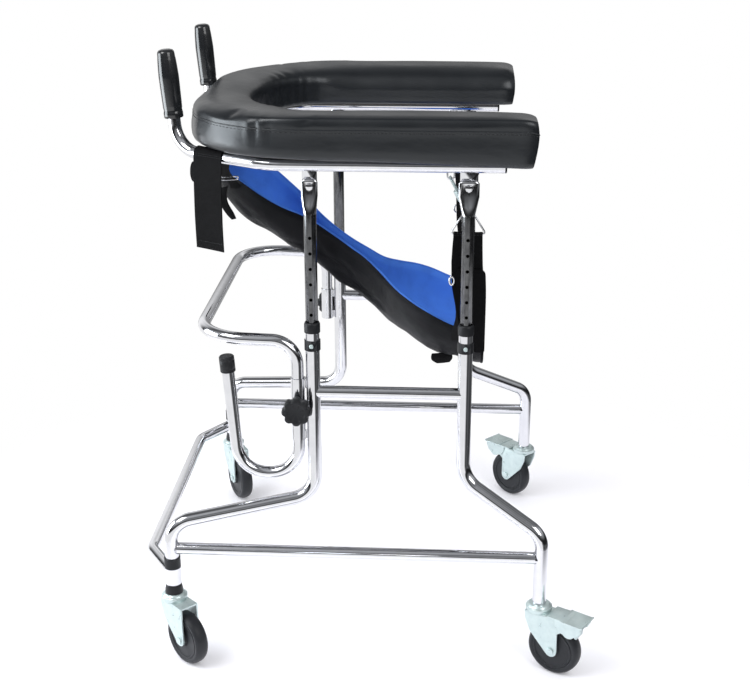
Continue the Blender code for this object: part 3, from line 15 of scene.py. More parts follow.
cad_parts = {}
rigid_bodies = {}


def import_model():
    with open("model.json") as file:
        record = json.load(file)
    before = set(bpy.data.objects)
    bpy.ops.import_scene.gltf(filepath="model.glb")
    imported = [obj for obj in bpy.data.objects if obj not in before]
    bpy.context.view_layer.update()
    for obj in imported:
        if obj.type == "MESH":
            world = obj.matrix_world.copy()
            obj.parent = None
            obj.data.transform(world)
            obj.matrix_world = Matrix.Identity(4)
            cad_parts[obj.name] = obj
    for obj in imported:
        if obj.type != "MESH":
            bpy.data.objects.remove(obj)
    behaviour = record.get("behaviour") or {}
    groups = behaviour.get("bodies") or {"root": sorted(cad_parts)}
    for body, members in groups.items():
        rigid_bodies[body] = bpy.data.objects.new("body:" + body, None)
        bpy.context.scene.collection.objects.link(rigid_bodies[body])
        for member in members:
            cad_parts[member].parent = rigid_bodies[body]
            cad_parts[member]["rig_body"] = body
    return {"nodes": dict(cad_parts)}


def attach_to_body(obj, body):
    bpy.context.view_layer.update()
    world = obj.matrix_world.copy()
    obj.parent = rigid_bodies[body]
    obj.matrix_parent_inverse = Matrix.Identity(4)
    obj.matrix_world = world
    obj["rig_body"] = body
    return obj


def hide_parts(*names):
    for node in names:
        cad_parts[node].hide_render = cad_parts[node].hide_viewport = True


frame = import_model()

log = logging.getLogger("walker")

Point = tuple[float, float, float]
Colour = tuple[float, float, float]
Place = tuple[Point, Point, float]
Outline = tuple[tuple[float, ...], ...]
Mesh = bmesh.types.BMesh
Vert = bmesh.types.BMVert
Socket = bpy.types.NodeSocket
Material = bpy.types.Material
Piece = bpy.types.Object
Inputs = dict[str | int, object]

UPPER = "upper"


class Side(Enum):
    """The two sides of the walker, with the sign of X on each."""

    LEFT = 1.0
    RIGHT = -1.0

    @property
    def word(self) -> str:
        """The side's word in piece names."""
        return self.name.lower()

    def at(self, x: float, y: float, z: float) -> Point:
        """A place of the left side, carried over to this side."""
        return (self.value * x, y, z)

    @classmethod
    def of(cls, name: str) -> "Side":
        """The side that a part's name starts with, or the left one."""
        return cls.RIGHT if name.startswith("right") else cls.LEFT


# Numbers and lines


def clamp(value: float) -> float:
    """A value kept between 0 and 1."""
    return max(0.0, min(1.0, value))


def hump(value: float, middle: float, width: float) -> float:
    """A smooth hump of height 1 about a middle."""
    return math.exp(-(((value - middle) / width) ** 2))


def signed_power(value: float, power: float) -> float:
    """A power of a value that keeps its sign."""
    return math.copysign(abs(value) ** power, value)


def catmull(points: Sequence[Sequence[float]], steps: int) -> list[list[float]]:
    """Smooth a line of numbers of any length with a curve through each point.

    Args:
        points: The points that the curve passes through.
        steps: How many pieces each span gets.

    Returns:
        The curve's points, both ends included.
    """
    out: list[list[float]] = []
    last = len(points) - 1
    for i in range(last):
        p0, p1 = points[max(i - 1, 0)], points[i]
        p2, p3 = points[i + 1], points[min(i + 2, last)]
        for k in range(steps):
            t = k / steps
            out.append([
                0.5 * (2 * b + (c - a) * t + (2 * a - 5 * b + 4 * c - d) * t * t
                       + (3 * b - a - 3 * c + d) * t ** 3)
                for a, b, c, d in zip(p0, p1, p2, p3)
            ])
    out.append(list(points[last]))
    return out


def bent_line(corners: Sequence[Point], radii: Sequence[float], steps: int) -> list[Vector]:
    """A middle line through corners, each inner one rounded to its radius.

    Args:
        corners: The corners, the two ends included.
        radii: The radius of each inner corner.
        steps: How many pieces each bend gets.

    Returns:
        The line's points.
    """
    spots = [Vector(corner) for corner in corners]
    line = [spots[0]]
    for before, corner, after, radius in zip(spots, spots[1:], spots[2:], radii):
        inward = (corner - before).normalized()
        outward = (after - corner).normalized()
        turn = inward.angle(outward)
        start = corner - inward * radius * math.tan(turn / 2)
        across = (outward - inward * inward.dot(outward)).normalized()
        for i in range(steps + 1):
            angle = turn * i / steps
            line.append(start + across * radius * (1 - math.cos(angle)) + inward * radius * math.sin(angle))
    line.append(spots[-1])
    return line


def off_line(spot: Vector, line: Sequence[Vector]) -> float:
    """How far a point is from a line.

    Args:
        spot: The point.
        line: The line's points.

    Returns:
        The distance, in metres.
    """
    best = math.inf
    for a, b in zip(line, line[1:]):
        along = b - a
        share = clamp((spot - a).dot(along) / max(along.length_squared, 1e-12))
        best = min(best, (spot - a - along * share).length)
    return best


def line_length(points: Sequence[Vector]) -> float:
    """The length of a line of points."""
    return sum((b - a).length for a, b in zip(points, points[1:]))


def cut_size(rows: Sequence[Sequence[Vector]]) -> tuple[tuple[float, float], float]:
    """The size that a cloth was cut to before it was hung.

    Args:
        rows: The grid of its middle surface.

    Returns:
        Its flat width and length in metres, and its area in square metres.
    """
    area = 0.0
    for first, second in zip(rows, rows[1:]):
        for a, b, c, d in zip(first, first[1:], second[1:], second):
            area += ((b - a).cross(c - a).length + (c - a).cross(d - a).length) / 2
    width = max(line_length(row) for row in rows)
    length = line_length([row[len(row) // 2] for row in rows])
    return (width, length), min(area, width * length)


# Meshes


def new_piece(name: str, bm: Mesh, *looks: Material) -> Piece:
    """Turn a bmesh into a smooth-shaded object with its materials.

    Args:
        name: The piece's name.
        bm: The mesh, which is freed.
        looks: One material for each slot.

    Returns:
        The object, linked to the scene.
    """
    mesh = bpy.data.meshes.new(name)
    bm.to_mesh(mesh)
    bm.free()
    piece = bpy.data.objects.new(name, mesh)
    bpy.context.scene.collection.objects.link(piece)
    for look in looks:
        mesh.materials.append(look)
    mesh.shade_smooth()
    return piece


def attach(piece: Piece, body: str = UPPER) -> None:
    """Put a piece on the body that it rides on."""
    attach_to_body(piece, body)


def apply_all(piece: Piece) -> Piece:
    """Bake every modifier of a piece into its mesh.

    Args:
        piece: The piece.

    Returns:
        The same piece, with no modifier left.
    """
    graph = bpy.context.evaluated_depsgraph_get()
    mesh = bpy.data.meshes.new_from_object(piece.evaluated_get(graph))
    piece.modifiers.clear()
    piece.data = mesh
    return piece


def bridge(bm: Mesh, rings: Sequence[Sequence[Vert]]) -> None:
    """Join each ring of points to the next; a ring of one point gets a fan.

    Args:
        bm: The mesh that gets the faces.
        rings: The rings, with as many points each, or one.
    """
    for low, high in zip(rings, rings[1:]):
        for k in range(max(len(low), len(high))):
            below = (low[k % len(low)], low[(k + 1) % len(low)])
            corners = list(dict.fromkeys((*below, high[(k + 1) % len(high)], high[k % len(high)])))
            if len(corners) > 2:
                bm.faces.new(corners)


def ring_about(bm: Mesh, centre: Vector, first: Vector, second: Vector, sides: int) -> list[Vert]:
    """A round ring of points.

    Args:
        bm: The mesh that gets the points.
        centre: The ring's middle.
        first: One half axis.
        second: The half axis across it.
        sides: How many points it has.

    Returns:
        The points.
    """
    turns = [2 * math.pi * k / sides for k in range(sides)]
    return [bm.verts.new(centre + first * math.cos(turn) + second * math.sin(turn)) for turn in turns]


def lathe(bm: Mesh, profile: Iterable[tuple[float, float]], foot: Vector, axis: Vector, sides: int) -> None:
    """Turn a profile about an axis.

    Args:
        bm: The mesh that gets the piece.
        profile: The (radius, distance along the axis) points, from one end to the other.
        foot: The axis's zero point.
        axis: The axis's direction.
        sides: How many sides the turned piece has.
    """
    along = axis.normalized()
    first = along.orthogonal().normalized()
    second = along.cross(first)
    rings = []
    for radius, reach in profile:
        centre = foot + along * reach
        rings.append(ring_about(bm, centre, first * radius, second * radius, sides if radius > 0 else 1))
    bridge(bm, rings)


def tube_along(
    bm: Mesh, line: Sequence[Vector], radius: float, sides: int, closed: bool = False, capped: bool = True
) -> None:
    """Sweep a round section along a line.

    Args:
        bm: The mesh that gets the tube.
        line: The points down its middle.
        radius: The tube's radius.
        sides: How many sides the section has.
        closed: Whether the line joins its own start.
        capped: Whether the ends are closed with a face.
    """
    count = len(line)
    rings = []
    up = Vector((0, 0, 1))
    for i, centre in enumerate(line):
        before = line[i - 1] if closed or i else line[0]
        after = line[(i + 1) % count] if closed or i < count - 1 else line[-1]
        along = (after - before).normalized()
        side = along.cross(up)
        side = along.orthogonal() if side.length < 1e-4 else side
        side.normalize()
        up = side.cross(along).normalized()
        rings.append(ring_about(bm, centre, side * radius, up * radius, sides))
    bridge(bm, rings + rings[:1] if closed else rings)
    if capped and not closed:
        bm.faces.new(rings[0][::-1])
        bm.faces.new(rings[-1])


# Finishes


class Nodes:
    """A shader node tree, with the few calls that the finishes and the stage share."""

    def __init__(self, tree: bpy.types.NodeTree) -> None:
        """Work on a tree."""
        self.tree = tree

    def fill(self, node: bpy.types.Node, inputs: Inputs) -> None:
        """Link a socket, or set a constant, at each of a node's inputs.

        Args:
            node: The node.
            inputs: The sockets and constants, by the input's name or number.
        """
        for key, value in inputs.items():
            if isinstance(value, Socket):
                self.tree.links.new(value, node.inputs[key])
            else:
                node.inputs[key].default_value = value

    def add(self, kind: str, inputs: Inputs | None = None, **settings: object) -> bpy.types.Node:
        """Add a node.

        Args:
            kind: Its kind, such as Math.
            inputs: What goes into it.
            settings: Its own settings, such as the operation.

        Returns:
            The node.
        """
        node = self.tree.nodes.new(f"ShaderNode{kind}")
        for key, value in settings.items():
            setattr(node, key, value)
        self.fill(node, inputs or {})
        return node

    def math(self, kind: str, *values: Socket | float) -> Socket:
        """The result of a math operation on values."""
        return self.add("Math", dict(enumerate(values)), operation=kind).outputs["Value"]

    def most(self, *values: Socket) -> Socket:
        """The larger of two values."""
        return self.math("MAXIMUM", *values)

    def ramp(
        self, value: Socket, start: float, end: float, low: float = 0.0, high: float = 1.0, smooth: bool = True
    ) -> Socket:
        """A step from one value to another.

        Args:
            value: What is mapped.
            start: Where the step starts.
            end: Where it ends.
            low: The result before it.
            high: The result after it.
            smooth: Whether the step eases in and out.

        Returns:
            The result's socket.
        """
        names = ("Value", "From Min", "From Max", "To Min", "To Max")
        facts = dict(zip(names, (value, start, end, low, high)))
        kind = "SMOOTHSTEP" if smooth else "LINEAR"
        return self.add("MapRange", facts, interpolation_type=kind).outputs["Result"]

    def mixed(self, share: Socket, first: Socket, second: Socket) -> None:
        """Show a mix of two shaders as the material's surface."""
        mix = self.add("MixShader", {0: share, 1: first, 2: second})
        self.fill(self.tree.nodes["Material Output"], {"Surface": mix.outputs["Shader"]})


class Graph(Nodes):
    """A material's node tree around its Principled shader."""

    def __init__(self, name: str) -> None:
        """Start a material."""
        self.material = bpy.data.materials.new(name)
        self.material.use_nodes = True
        super().__init__(self.material.node_tree)
        self.shader = self.tree.nodes["Principled BSDF"]
        self.place = self.add("TexCoord").outputs

    def set(self, **values: object) -> None:
        """Set or link the shader's own sockets; an underscore in a name stands for a space."""
        self.fill(self.shader, {key.replace("_", " "): value for key, value in values.items()})

    def noise(self, scale: Point, detail: float = 3.0) -> Socket:
        """Cloudy values from 0 to 1.

        Args:
            scale: Patches per metre along each axis.
            detail: How many finer layers are added.

        Returns:
            The value socket.
        """
        place = self.add("Mapping", {"Vector": self.place["Object"], "Scale": scale}).outputs["Vector"]
        return self.add("TexNoise", {"Vector": place, "Scale": 1.0, "Detail": detail}).outputs["Fac"]

    def even_noise(self, scale: float, detail: float) -> Socket:
        """Cloudy values with the same scale along each axis."""
        return self.noise((scale, scale, scale), detail)

    def cells(self, per_metre: float) -> Socket:
        """The distance to the edge of small leather-like cells."""
        facts = {"Vector": self.place["Object"], "Scale": per_metre}
        return self.add("TexVoronoi", facts, feature="DISTANCE_TO_EDGE").outputs["Distance"]

    def ribs(self, period: float, axis: str) -> Socket:
        """Even ribs, slightly wandering, a period in metres apart across an axis."""
        facts = {"Vector": self.place["UV"], "Scale": 0.31416 / period, "Distortion": 0.4, "Detail": 1.0}
        return self.add("TexWave", facts, bands_direction=axis).outputs["Fac"]

    def spread(self, value: Socket, low: float, high: float) -> Socket:
        """Values from 0.3 to 0.7 mapped onto low to high."""
        return self.ramp(value, 0.3, 0.7, low, high, smooth=False)

    def colours(self, value: Socket, first: Colour, second: Colour) -> Socket:
        """A colour between two, the first at 0 and the second at 1.

        Args:
            value: The value that chooses.
            first: The colour at 0.
            second: The colour at 1.

        Returns:
            The colour socket.
        """
        node = self.add("Mix", {0: value}, data_type="RGBA")
        tints = [s for s in node.inputs if s.type == "RGBA"]
        for tint, colour in zip(tints, (first, second)):
            tint.default_value = (*colour, 1.0)
        return next(s for s in node.outputs if s.type == "RGBA")

    def joined(self, first: Socket, second: Socket, share: float) -> Socket:
        """The first value plus a share of the second."""
        return self.math("MULTIPLY_ADD", second, share, first)

    def bump(self, height: Socket, depth: float) -> None:
        """Raise the surface by a value, where 1 is a depth in metres."""
        self.set(Normal=self.add("Bump", {"Distance": depth, "Height": height}).outputs["Normal"])


@dataclass(frozen=True)
class Plated:
    """Polished or brushed plating on tube and pressed plate."""

    name: str
    dark: Colour
    light: Colour
    smooth: float
    rough: float
    draw: Point = (60.0, 60.0, 60.0)
    ripple: float = 0.00003
    metal: float = 1.0

    def make(self) -> Material:
        """Build the material: cloudy tint, uneven polish and a faint ripple.

        Returns:
            The material.
        """
        graph = Graph(self.name)
        cloud = graph.noise(self.draw, 4.0)
        wear = graph.noise(tuple(9.0 * s for s in self.draw), 2.0)
        graph.set(Metallic=self.metal, Base_Color=graph.colours(cloud, self.dark, self.light))
        graph.set(Roughness=graph.spread(graph.joined(cloud, wear, 0.35), self.smooth, self.rough))
        graph.bump(graph.noise((90.0, 90.0, 30.0), 2.0), self.ripple)
        return graph.material


@dataclass(frozen=True)
class Moulded:
    """Fine-grained moulded plastic or rubber, a little lighter where it is handled."""

    name: str
    colour: Colour
    handled: Colour
    smooth: float
    rough: float
    grain: float
    depth: float
    shine: float = 0.30

    def make(self) -> Material:
        """Build the material: grain, patchy gloss and handled patches.

        Returns:
            The material.
        """
        graph = Graph(self.name)
        patch = graph.even_noise(35.0, 5.0)
        graph.set(IOR=1.5, Specular_IOR_Level=self.shine)
        graph.set(Base_Color=graph.colours(patch, self.colour, self.handled))
        graph.set(Roughness=graph.spread(patch, self.smooth, self.rough))
        graph.bump(graph.even_noise(self.grain, 2.0), self.depth)
        return graph.material


@dataclass(frozen=True)
class CoverVinyl:
    """The pad's soft cover: small grain cells, slow undulation and a silky sheen."""

    name: str = "cover_vinyl"
    deep: Colour = (0.006, 0.0072, 0.0090)
    worn: Colour = (0.011, 0.0130, 0.0160)
    cells: float = 620.0

    def make(self) -> Material:
        """Build the material.

        Returns:
            The material.
        """
        graph = Graph(self.name)
        patch = graph.even_noise(14.0, 5.0)
        graph.set(IOR=1.5, Specular_IOR_Level=0.62, Specular_Tint=(0.94, 0.97, 1.0, 1.0))
        graph.set(Base_Color=graph.colours(patch, self.deep, self.worn))
        graph.set(Roughness=graph.spread(patch, 0.27, 0.39))
        grain = graph.spread(graph.cells(self.cells), 0.0, 1.0)
        graph.bump(graph.joined(grain, graph.noise((30.0, 30.0, 60.0), 2.0), 9.0), 0.00006)
        return graph.material


@dataclass(frozen=True)
class Cloth:
    """Woven cloth, from its thread colours and the spacing of its threads."""

    name: str
    thread: Colour
    gap: Colour
    period: float
    depth: float
    rough: float
    sheen: float
    sheen_tint: Colour
    shine: float = 0.15

    def make(self) -> Material:
        """Build the material: crossing ribs, thread-to-thread variation and soft sheen.

        Returns:
            The material.
        """
        graph = Graph(self.name)
        graph.set(Sheen_Weight=self.sheen, Sheen_Roughness=0.45, Sheen_Tint=(*self.sheen_tint, 1.0))
        graph.set(Roughness=self.rough, Specular_IOR_Level=self.shine)
        weave = graph.joined(graph.ribs(self.period, "X"), graph.ribs(self.period * 1.25, "Y"), 0.8)
        shade = graph.spread(graph.joined(graph.even_noise(22.0, 5.0), weave, 0.18), 0.0, 1.0)
        graph.set(Base_Color=graph.colours(shade, self.gap, self.thread))
        graph.bump(graph.joined(weave, graph.noise((34.0, 15.0, 46.0)), 6.0), self.depth)
        return graph.material


@dataclass(frozen=True)
class StainedBoard:
    """Dark stained plywood with its long grain."""

    name: str = "stained_board"
    dark: Colour = (0.018, 0.014, 0.011)
    light: Colour = (0.062, 0.047, 0.036)

    def make(self) -> Material:
        """Build the material.

        Returns:
            The material.
        """
        graph = Graph(self.name)
        grain = graph.noise((180.0, 14.0, 180.0), 6.0)
        graph.set(Base_Color=graph.colours(grain, self.dark, self.light))
        graph.set(Roughness=graph.spread(grain, 0.55, 0.75))
        graph.bump(grain, 0.0002)
        return graph.material


def finish(recipe: Plated | Moulded | CoverVinyl | Cloth | StainedBoard) -> Material:
    """A field that holds a recipe's material."""
    return field(default_factory=recipe.make)


@dataclass(frozen=True)
class Finishes:
    """Every finish of the walker, built once."""

    chrome: Material = finish(Plated("polished_plate", (0.70, 0.71, 0.74), (0.84, 0.84, 0.87), 0.035, 0.09))
    # The posts' plating: a dark copy of the chrome, whose dark base colour paints in the posts' darker
    # reflections.
    post: Material = finish(Plated(
        "slide_worn_plate", (0.03, 0.03, 0.035), (0.22, 0.225, 0.23), 0.07, 0.22, (160.0, 160.0, 60.0)
    ))
    zinc: Material = finish(Plated(
        "passivated_plate", (0.46, 0.57, 0.58), (0.70, 0.80, 0.79), 0.20, 0.36, (70.0,) * 3, 0.00005, 0.65
    ))
    plastic: Material = finish(Moulded(
        "moulded_black", (0.007, 0.008, 0.010), (0.015, 0.016, 0.019), 0.34, 0.52, 900.0, 0.00006
    ))
    grip: Material = finish(Moulded(
        "grip_sleeve", (0.010, 0.011, 0.013), (0.014, 0.015, 0.017), 0.10, 0.17, 300.0, 0.00002, 0.85
    ))
    tyre: Material = finish(Moulded(
        "tyre_grey", (0.011, 0.012, 0.015), (0.024, 0.026, 0.030), 0.32, 0.52, 500.0, 0.0001
    ))
    vinyl: Material = finish(CoverVinyl())
    board: Material = finish(StainedBoard())
    blue: Material = finish(Cloth(
        "seat_blue", (0.058, 0.200, 0.73), (0.036, 0.125, 0.51), 0.0012, 0.00012, 0.72, 0.22, (0.3, 0.5, 1.0)
    ))
    lining: Material = finish(Cloth(
        "sling_black", (0.0060, 0.0066, 0.0095), (0.003, 0.003, 0.005), 0.0010, 0.00036, 0.36, 0.0,
        (0.6, 0.6, 0.8), 0.20
    ))
    webbing: Material = finish(Cloth(
        "webbing_black", (0.0036, 0.0036, 0.0044), (0.0012, 0.0012, 0.0018), 0.0016, 0.00025, 0.66, 0.0,
        (0.6, 0.6, 0.7), 0.09
    ))
    thread: Material = finish(Cloth(
        "thread_grey", (0.030, 0.031, 0.036), (0.014, 0.015, 0.018), 0.0006, 0.00005, 0.7, 0.2, (0.8, 0.8, 0.8)
    ))


# Hard parts


@dataclass(frozen=True)
class Leg:
    """A leg's places along the walker, the heights of its two corners and the radius of its upper bend."""

    foot_y: float
    post_y: float
    low_z: float
    high_z: float
    bend: float


@dataclass(frozen=True)
class Plan:
    """The solids' places and radii that more than one piece is fitted to."""

    front: Leg = Leg(-0.348, -0.092, 0.2695, 0.3025, 0.045)
    rear: Leg = Leg(0.316, 0.1745, 0.264, 0.3416, 0.050)
    foot_x: float = 0.338
    upright_x: float = 0.273
    leg: float = 0.0125
    bar: float = 0.011
    upper_bar_z: float = 0.504
    guard_y: float = -0.1195
    rail_z: float = 0.911
    rail_turn_y: float = -0.162
    handle_x: float = 0.170
    handle_foot_y: float = -0.332
    handle_top: tuple[float, float] = (-0.344, 1.075)
    hook_foot: tuple[float, float] = (-0.229, 0.344)
    hook_tip: tuple[float, float] = (-0.2445, 0.566)


@dataclass(frozen=True)
class Tube:
    """A round tube: radius, corners, the radius of each inner corner, and whether its ends are closed."""

    radius: float
    corners: Sequence[Point]
    radii: Sequence[float] = ()
    capped: bool = False

    @classmethod
    def upright(cls, radius: float, x: float, y: float, low: float, high: float) -> "Tube":
        """A tube that stands upright."""
        return cls(radius, [(x, y, low), (x, y, high)])

    @classmethod
    def mirrored(
        cls, radius: float, half: list[Point], radii: Sequence[float], capped: bool = False
    ) -> "Tube":
        """A tube that runs over to the other side, from the corners of its left half."""
        return cls(radius, [*half, *((-x, y, z) for x, y, z in half[::-1])], (*radii, *radii[::-1]), capped)


@dataclass
class HardParts:
    """The tubes, bushes, casters and fittings, with welded seams and fully round tubes and turned parts."""

    looks: Finishes
    plan: Plan = Plan()
    tube_sides: int = 40
    bend_steps: int = 12
    stem_foot_z: float = 0.1303
    leg_mouth_z: float = 0.625
    stem_bend: float = 0.040
    sleeve: float = 0.015
    cope: float = 0.0120
    lower_bar: tuple[float, float] = (0.011, 0.219)
    upper_bar_inset: float = 0.005
    rail_rear_y: float = 0.233
    knob_z: float = 0.477
    knob_off: float = 0.0178
    knob_radius: float = 0.0260
    knob_lobes: int = 8
    lobe_depth: float = 0.0040
    knob_waist: float = 0.0012
    grip_radius: float = 0.0151
    grip_swell: float = 0.0024
    grip_taper: float = 0.0010
    grip_top: float = -0.003
    grip_length: float = 0.087
    plate_edge: float = 0.0005
    sharp_degrees: float = 38.0
    plated_from_z: float = 0.815
    wheel_radius: float = 0.050
    trail: float = 0.0355
    swivels: dict[str, float] = field(default_factory=lambda: {
        "left_front": 46.0, "right_front": 30.0, "left_rear": 59.0, "right_rear": -134.0
    })
    wheel_half: Outline = (
        (0.0045, 0.0150), (0.0125, 0.0150), (0.0132, 0.0143), (0.0140, 0.0112), (0.0290, 0.0104),
        (0.0340, 0.0108), (0.0352, 0.0124), (0.0372, 0.0126), (0.0384, 0.0114), (0.0400, 0.0122),
        (0.0430, 0.0130), (0.0455, 0.0124), (0.0478, 0.0102), (0.0492, 0.0072), (0.0499, 0.0036),
    )
    grip_dome: Outline = ((0.0, 0.0092), (0.0085, 0.0088), (0.0122, 0.0074), (0.0142, 0.0050), (0.0148, 0.0020))
    grip_foot: Outline = (
        (0.0158, -0.0935), (0.0162, -0.0965), (0.0168, -0.0985), (0.0167, -0.1060), (0.0160, -0.1072),
        (0.0113, -0.1072),
    )
    cap_outline: Outline = (
        (0.0, 0.0022), (0.0085, 0.0030), (0.0118, 0.0024), (0.0134, 0.0006), (0.0136, -0.0040),
        (0.0131, -0.0048), (0.0136, -0.0056), (0.0135, -0.0205), (0.0130, -0.0213), (0.0136, -0.0221),
        (0.0135, -0.0262), (0.0128, -0.0270), (0.0113, -0.0270),
    )
    knob_levels: Outline = (
        (0.000, 0.0, 0.30), (0.000, 0.78, 0.6), (0.0012, 0.90, 0.9), (0.0040, 0.985, 1.0), (0.0060, 1.0, 1.0),
        (0.0155, 1.0, 1.0), (0.0180, 0.985, 1.0), (0.0200, 0.945, 1.0), (0.0209, 0.89, 0.9),
        (0.0209, 0.70, 0.4), (0.0196, 0.62, 0.0), (0.0192, 0.0, 0.0),
    )
    knob_screw: Outline = ((0.0, -0.0065), (0.004, -0.0065), (0.004, 0.002), (0.0, 0.002))

    def finish_of(self, node: str) -> tuple[Material, str]:
        """The finish of a hard part.

        Args:
            node: The part's name.

        Returns:
            The material that it is dressed in, and the name of its slot.
        """
        looks = self.looks
        endings = [
            (("_wheel",), looks.tyre, "tyre"),
            (("_fork", "_pedal", "_snap_hook", "_lock_button"), looks.zinc, "zinc"),
            (("_grip",), looks.grip, "grip_rubber"),
            (("_bush", "_collar", "_plug", "_knob", "_cap"), looks.plastic, "black_plastic"),
            (("_post",), looks.post, "post_chrome"),
            (("_board",), looks.board, "board"),
        ]
        found = ((look, slot) for words, look, slot in endings if node.endswith(words))
        return next(found, (looks.chrome, "chrome"))

    def tubes(self) -> dict[str, list[Tube]]:
        """The round tubes of each part that gets finely swept ones.

        Returns:
            The tubes, by the part's name.
        """
        plan, front, rear = self.plan, self.plan.front, self.plan.rear
        out: dict[str, list[Tube]] = {}
        for side in Side:
            for end, leg in (("front", front), ("rear", rear)):
                corners = [side.at(plan.foot_x, leg.foot_y, z) for z in (self.stem_foot_z, leg.low_z)]
                corners += [side.at(plan.upright_x, leg.post_y, z) for z in (leg.high_z, self.leg_mouth_z)]
                out[f"{side.word}_{end}_leg"] = [Tube(plan.leg, corners, (self.stem_bend, leg.bend))]
            ends = (front.post_y + self.upper_bar_inset, rear.post_y - self.upper_bar_inset)
            upper = [side.at(plan.upright_x, y, plan.upper_bar_z) for y in ends]
            out[f"{side.word}_front_leg"].append(Tube(plan.bar, upper))
            inset, height = self.lower_bar
            ends = (front.foot_y + inset, rear.foot_y - inset)
            out[f"{side.word}_lower_bar"] = [Tube(plan.bar, [side.at(plan.foot_x, y, height) for y in ends])]
            corners = [side.at(plan.upright_x, y, plan.rail_z) for y in (self.rail_rear_y, plan.rail_turn_y)]
            ends = ((plan.handle_foot_y, plan.rail_z), plan.handle_top)
            corners += [side.at(plan.handle_x, *end) for end in ends]
            out[f"{side.word}_rail"] = [Tube(plan.bar, corners, (0.090, 0.048))]
        half = [(plan.upright_x, *at) for at in ((plan.guard_y, 0.456), (plan.guard_y, 0.598), (-0.296, 0.603))]
        out["guard_bar"] = [Tube.mirrored(plan.bar, half, (0.045, 0.085), True)]
        out["low_crossbar"] = [
            Tube.mirrored(plan.bar, [(0.325, -0.3564, 0.168), (0.250, -0.405, 0.168)], (0.040,)),
            *(Tube.upright(self.sleeve, x, front.foot_y, 0.149, 0.181) for x in (plan.foot_x, -plan.foot_x)),
        ]
        hook = ((plan.guard_y, 0.415), (plan.guard_y, 0.344), plan.hook_foot, plan.hook_tip)
        corners = [(plan.upright_x, *at) for at in hook]
        sleeve = Tube.upright(plan.leg, plan.upright_x, plan.guard_y, 0.413, 0.530)
        out["left_hook_sleeve"] = [Tube(plan.bar, corners, (0.054, 0.054), True), sleeve]
        out["right_clamp_sleeve"] = [Tube.upright(plan.leg, -plan.upright_x, plan.guard_y, 0.453, 0.518)]
        return out

    def swept(self, node: Piece, tubes: Sequence[Tube]) -> Mesh:
        """A part's mesh with its seams joined and its faceted tubes swapped for finely swept ones.

        Args:
            node: The part.
            tubes: Its tubes.

        Returns:
            The mesh, which keeps what is welded to the tubes.
        """
        bm = bmesh.new()
        bm.from_mesh(node.data)
        bm.transform(node.matrix_world)
        bmesh.ops.remove_doubles(bm, verts=bm.verts, dist=1e-5)
        lines = [(bent_line(tube.corners, tube.radii, self.bend_steps), tube) for tube in tubes]
        for line, tube in lines:
            low, high = 0.965 * tube.radius, 1.015 * tube.radius
            on_tube = {v for v in bm.verts if low < off_line(v.co, line) < high}
            skin = [f for f in bm.faces if all(v in on_tube for v in f.verts)]
            bmesh.ops.delete(bm, geom=skin, context="FACES")
        for line, tube in lines:
            tube_along(bm, line, tube.radius, self.tube_sides, capped=tube.capped)
        return bm

    def saddle(self, bm: Mesh, x: float) -> None:
        """Cope the ends of an upper side bar to its two legs, so that their bores stay open.

        Args:
            bm: The mesh that holds the bar.
            x: Where the legs stand across the walker.
        """
        plan = self.plan
        for vert in bm.verts:
            dx = vert.co.x - x
            if abs(vert.co.z - plan.upper_bar_z) > plan.bar + 0.0005 or abs(dx) >= self.cope:
                continue
            for leg, way in ((plan.front, 1.0), (plan.rear, -1.0)):
                if math.hypot(dx, vert.co.y - leg.post_y) < self.cope:
                    vert.co.y = leg.post_y + way * math.sqrt(self.cope ** 2 - dx * dx)

    def turned(self, name: str) -> Mesh | None:
        """The finer shape of a turned part.

        Args:
            name: The part's name.

        Returns:
            The mesh of a wheel, grip, cap or knob, or None for any other part.
        """
        makers = {"_wheel": self.wheel, "_grip": self.grip, "hook_cap": self.cap, "_knob": self.knob}
        make = next((maker for ending, maker in makers.items() if name.endswith(ending)), None)
        if make is None:
            return None
        bm = bmesh.new()
        make(bm, name)
        bmesh.ops.recalc_face_normals(bm, faces=bm.faces)
        return bm

    def wheel(self, bm: Mesh, name: str) -> None:
        """A caster's wheel with its hub and its rounded tread.

        Args:
            bm: The mesh that gets the wheel.
            name: The wheel's name.
        """
        corner = name.removesuffix("_wheel")
        turn = math.radians(self.swivels[corner])
        leg = getattr(self.plan, corner.split("_")[1])
        foot = Vector(Side.of(name).at(self.plan.foot_x, leg.foot_y, self.wheel_radius))
        centre = foot + Vector((math.cos(turn), math.sin(turn), 0.0)) * self.trail
        profile = [*self.wheel_half, (self.wheel_radius, 0.0), *((r, -y) for r, y in self.wheel_half[::-1])]
        lathe(bm, profile, centre, Vector((-math.sin(turn), math.cos(turn), 0.0)), 72)

    def grip(self, bm: Mesh, name: str) -> None:
        """A handle's sleeve: domed on top, swelling under it, with a collar at its foot.

        Args:
            bm: The mesh that gets the grip.
            name: The grip's name.
        """
        plan, side, count = self.plan, Side.of(name), 24
        top = Vector(side.at(plan.handle_x, *plan.handle_top))
        body = []
        for i in range(count + 1):
            swell = self.grip_swell * min(1.0, i / 9) ** 0.7
            radius = self.grip_radius + swell - self.grip_taper * (i / count) ** 2
            body.append((radius, self.grip_top - self.grip_length * i / count))
        foot = Vector(side.at(plan.handle_x, plan.handle_foot_y, plan.rail_z))
        lathe(bm, [*self.grip_dome, *body, *self.grip_foot], top, top - foot, 48)

    def cap(self, bm: Mesh, name: str) -> None:
        """The ribbed cap on the hook's tip.

        Args:
            bm: The mesh that gets the cap.
            name: The cap's name.
        """
        plan = self.plan
        tip, foot = (Vector(Side.of(name).at(plan.upright_x, *at)) for at in (plan.hook_tip, plan.hook_foot))
        lathe(bm, self.cap_outline, tip, tip - foot, 40)

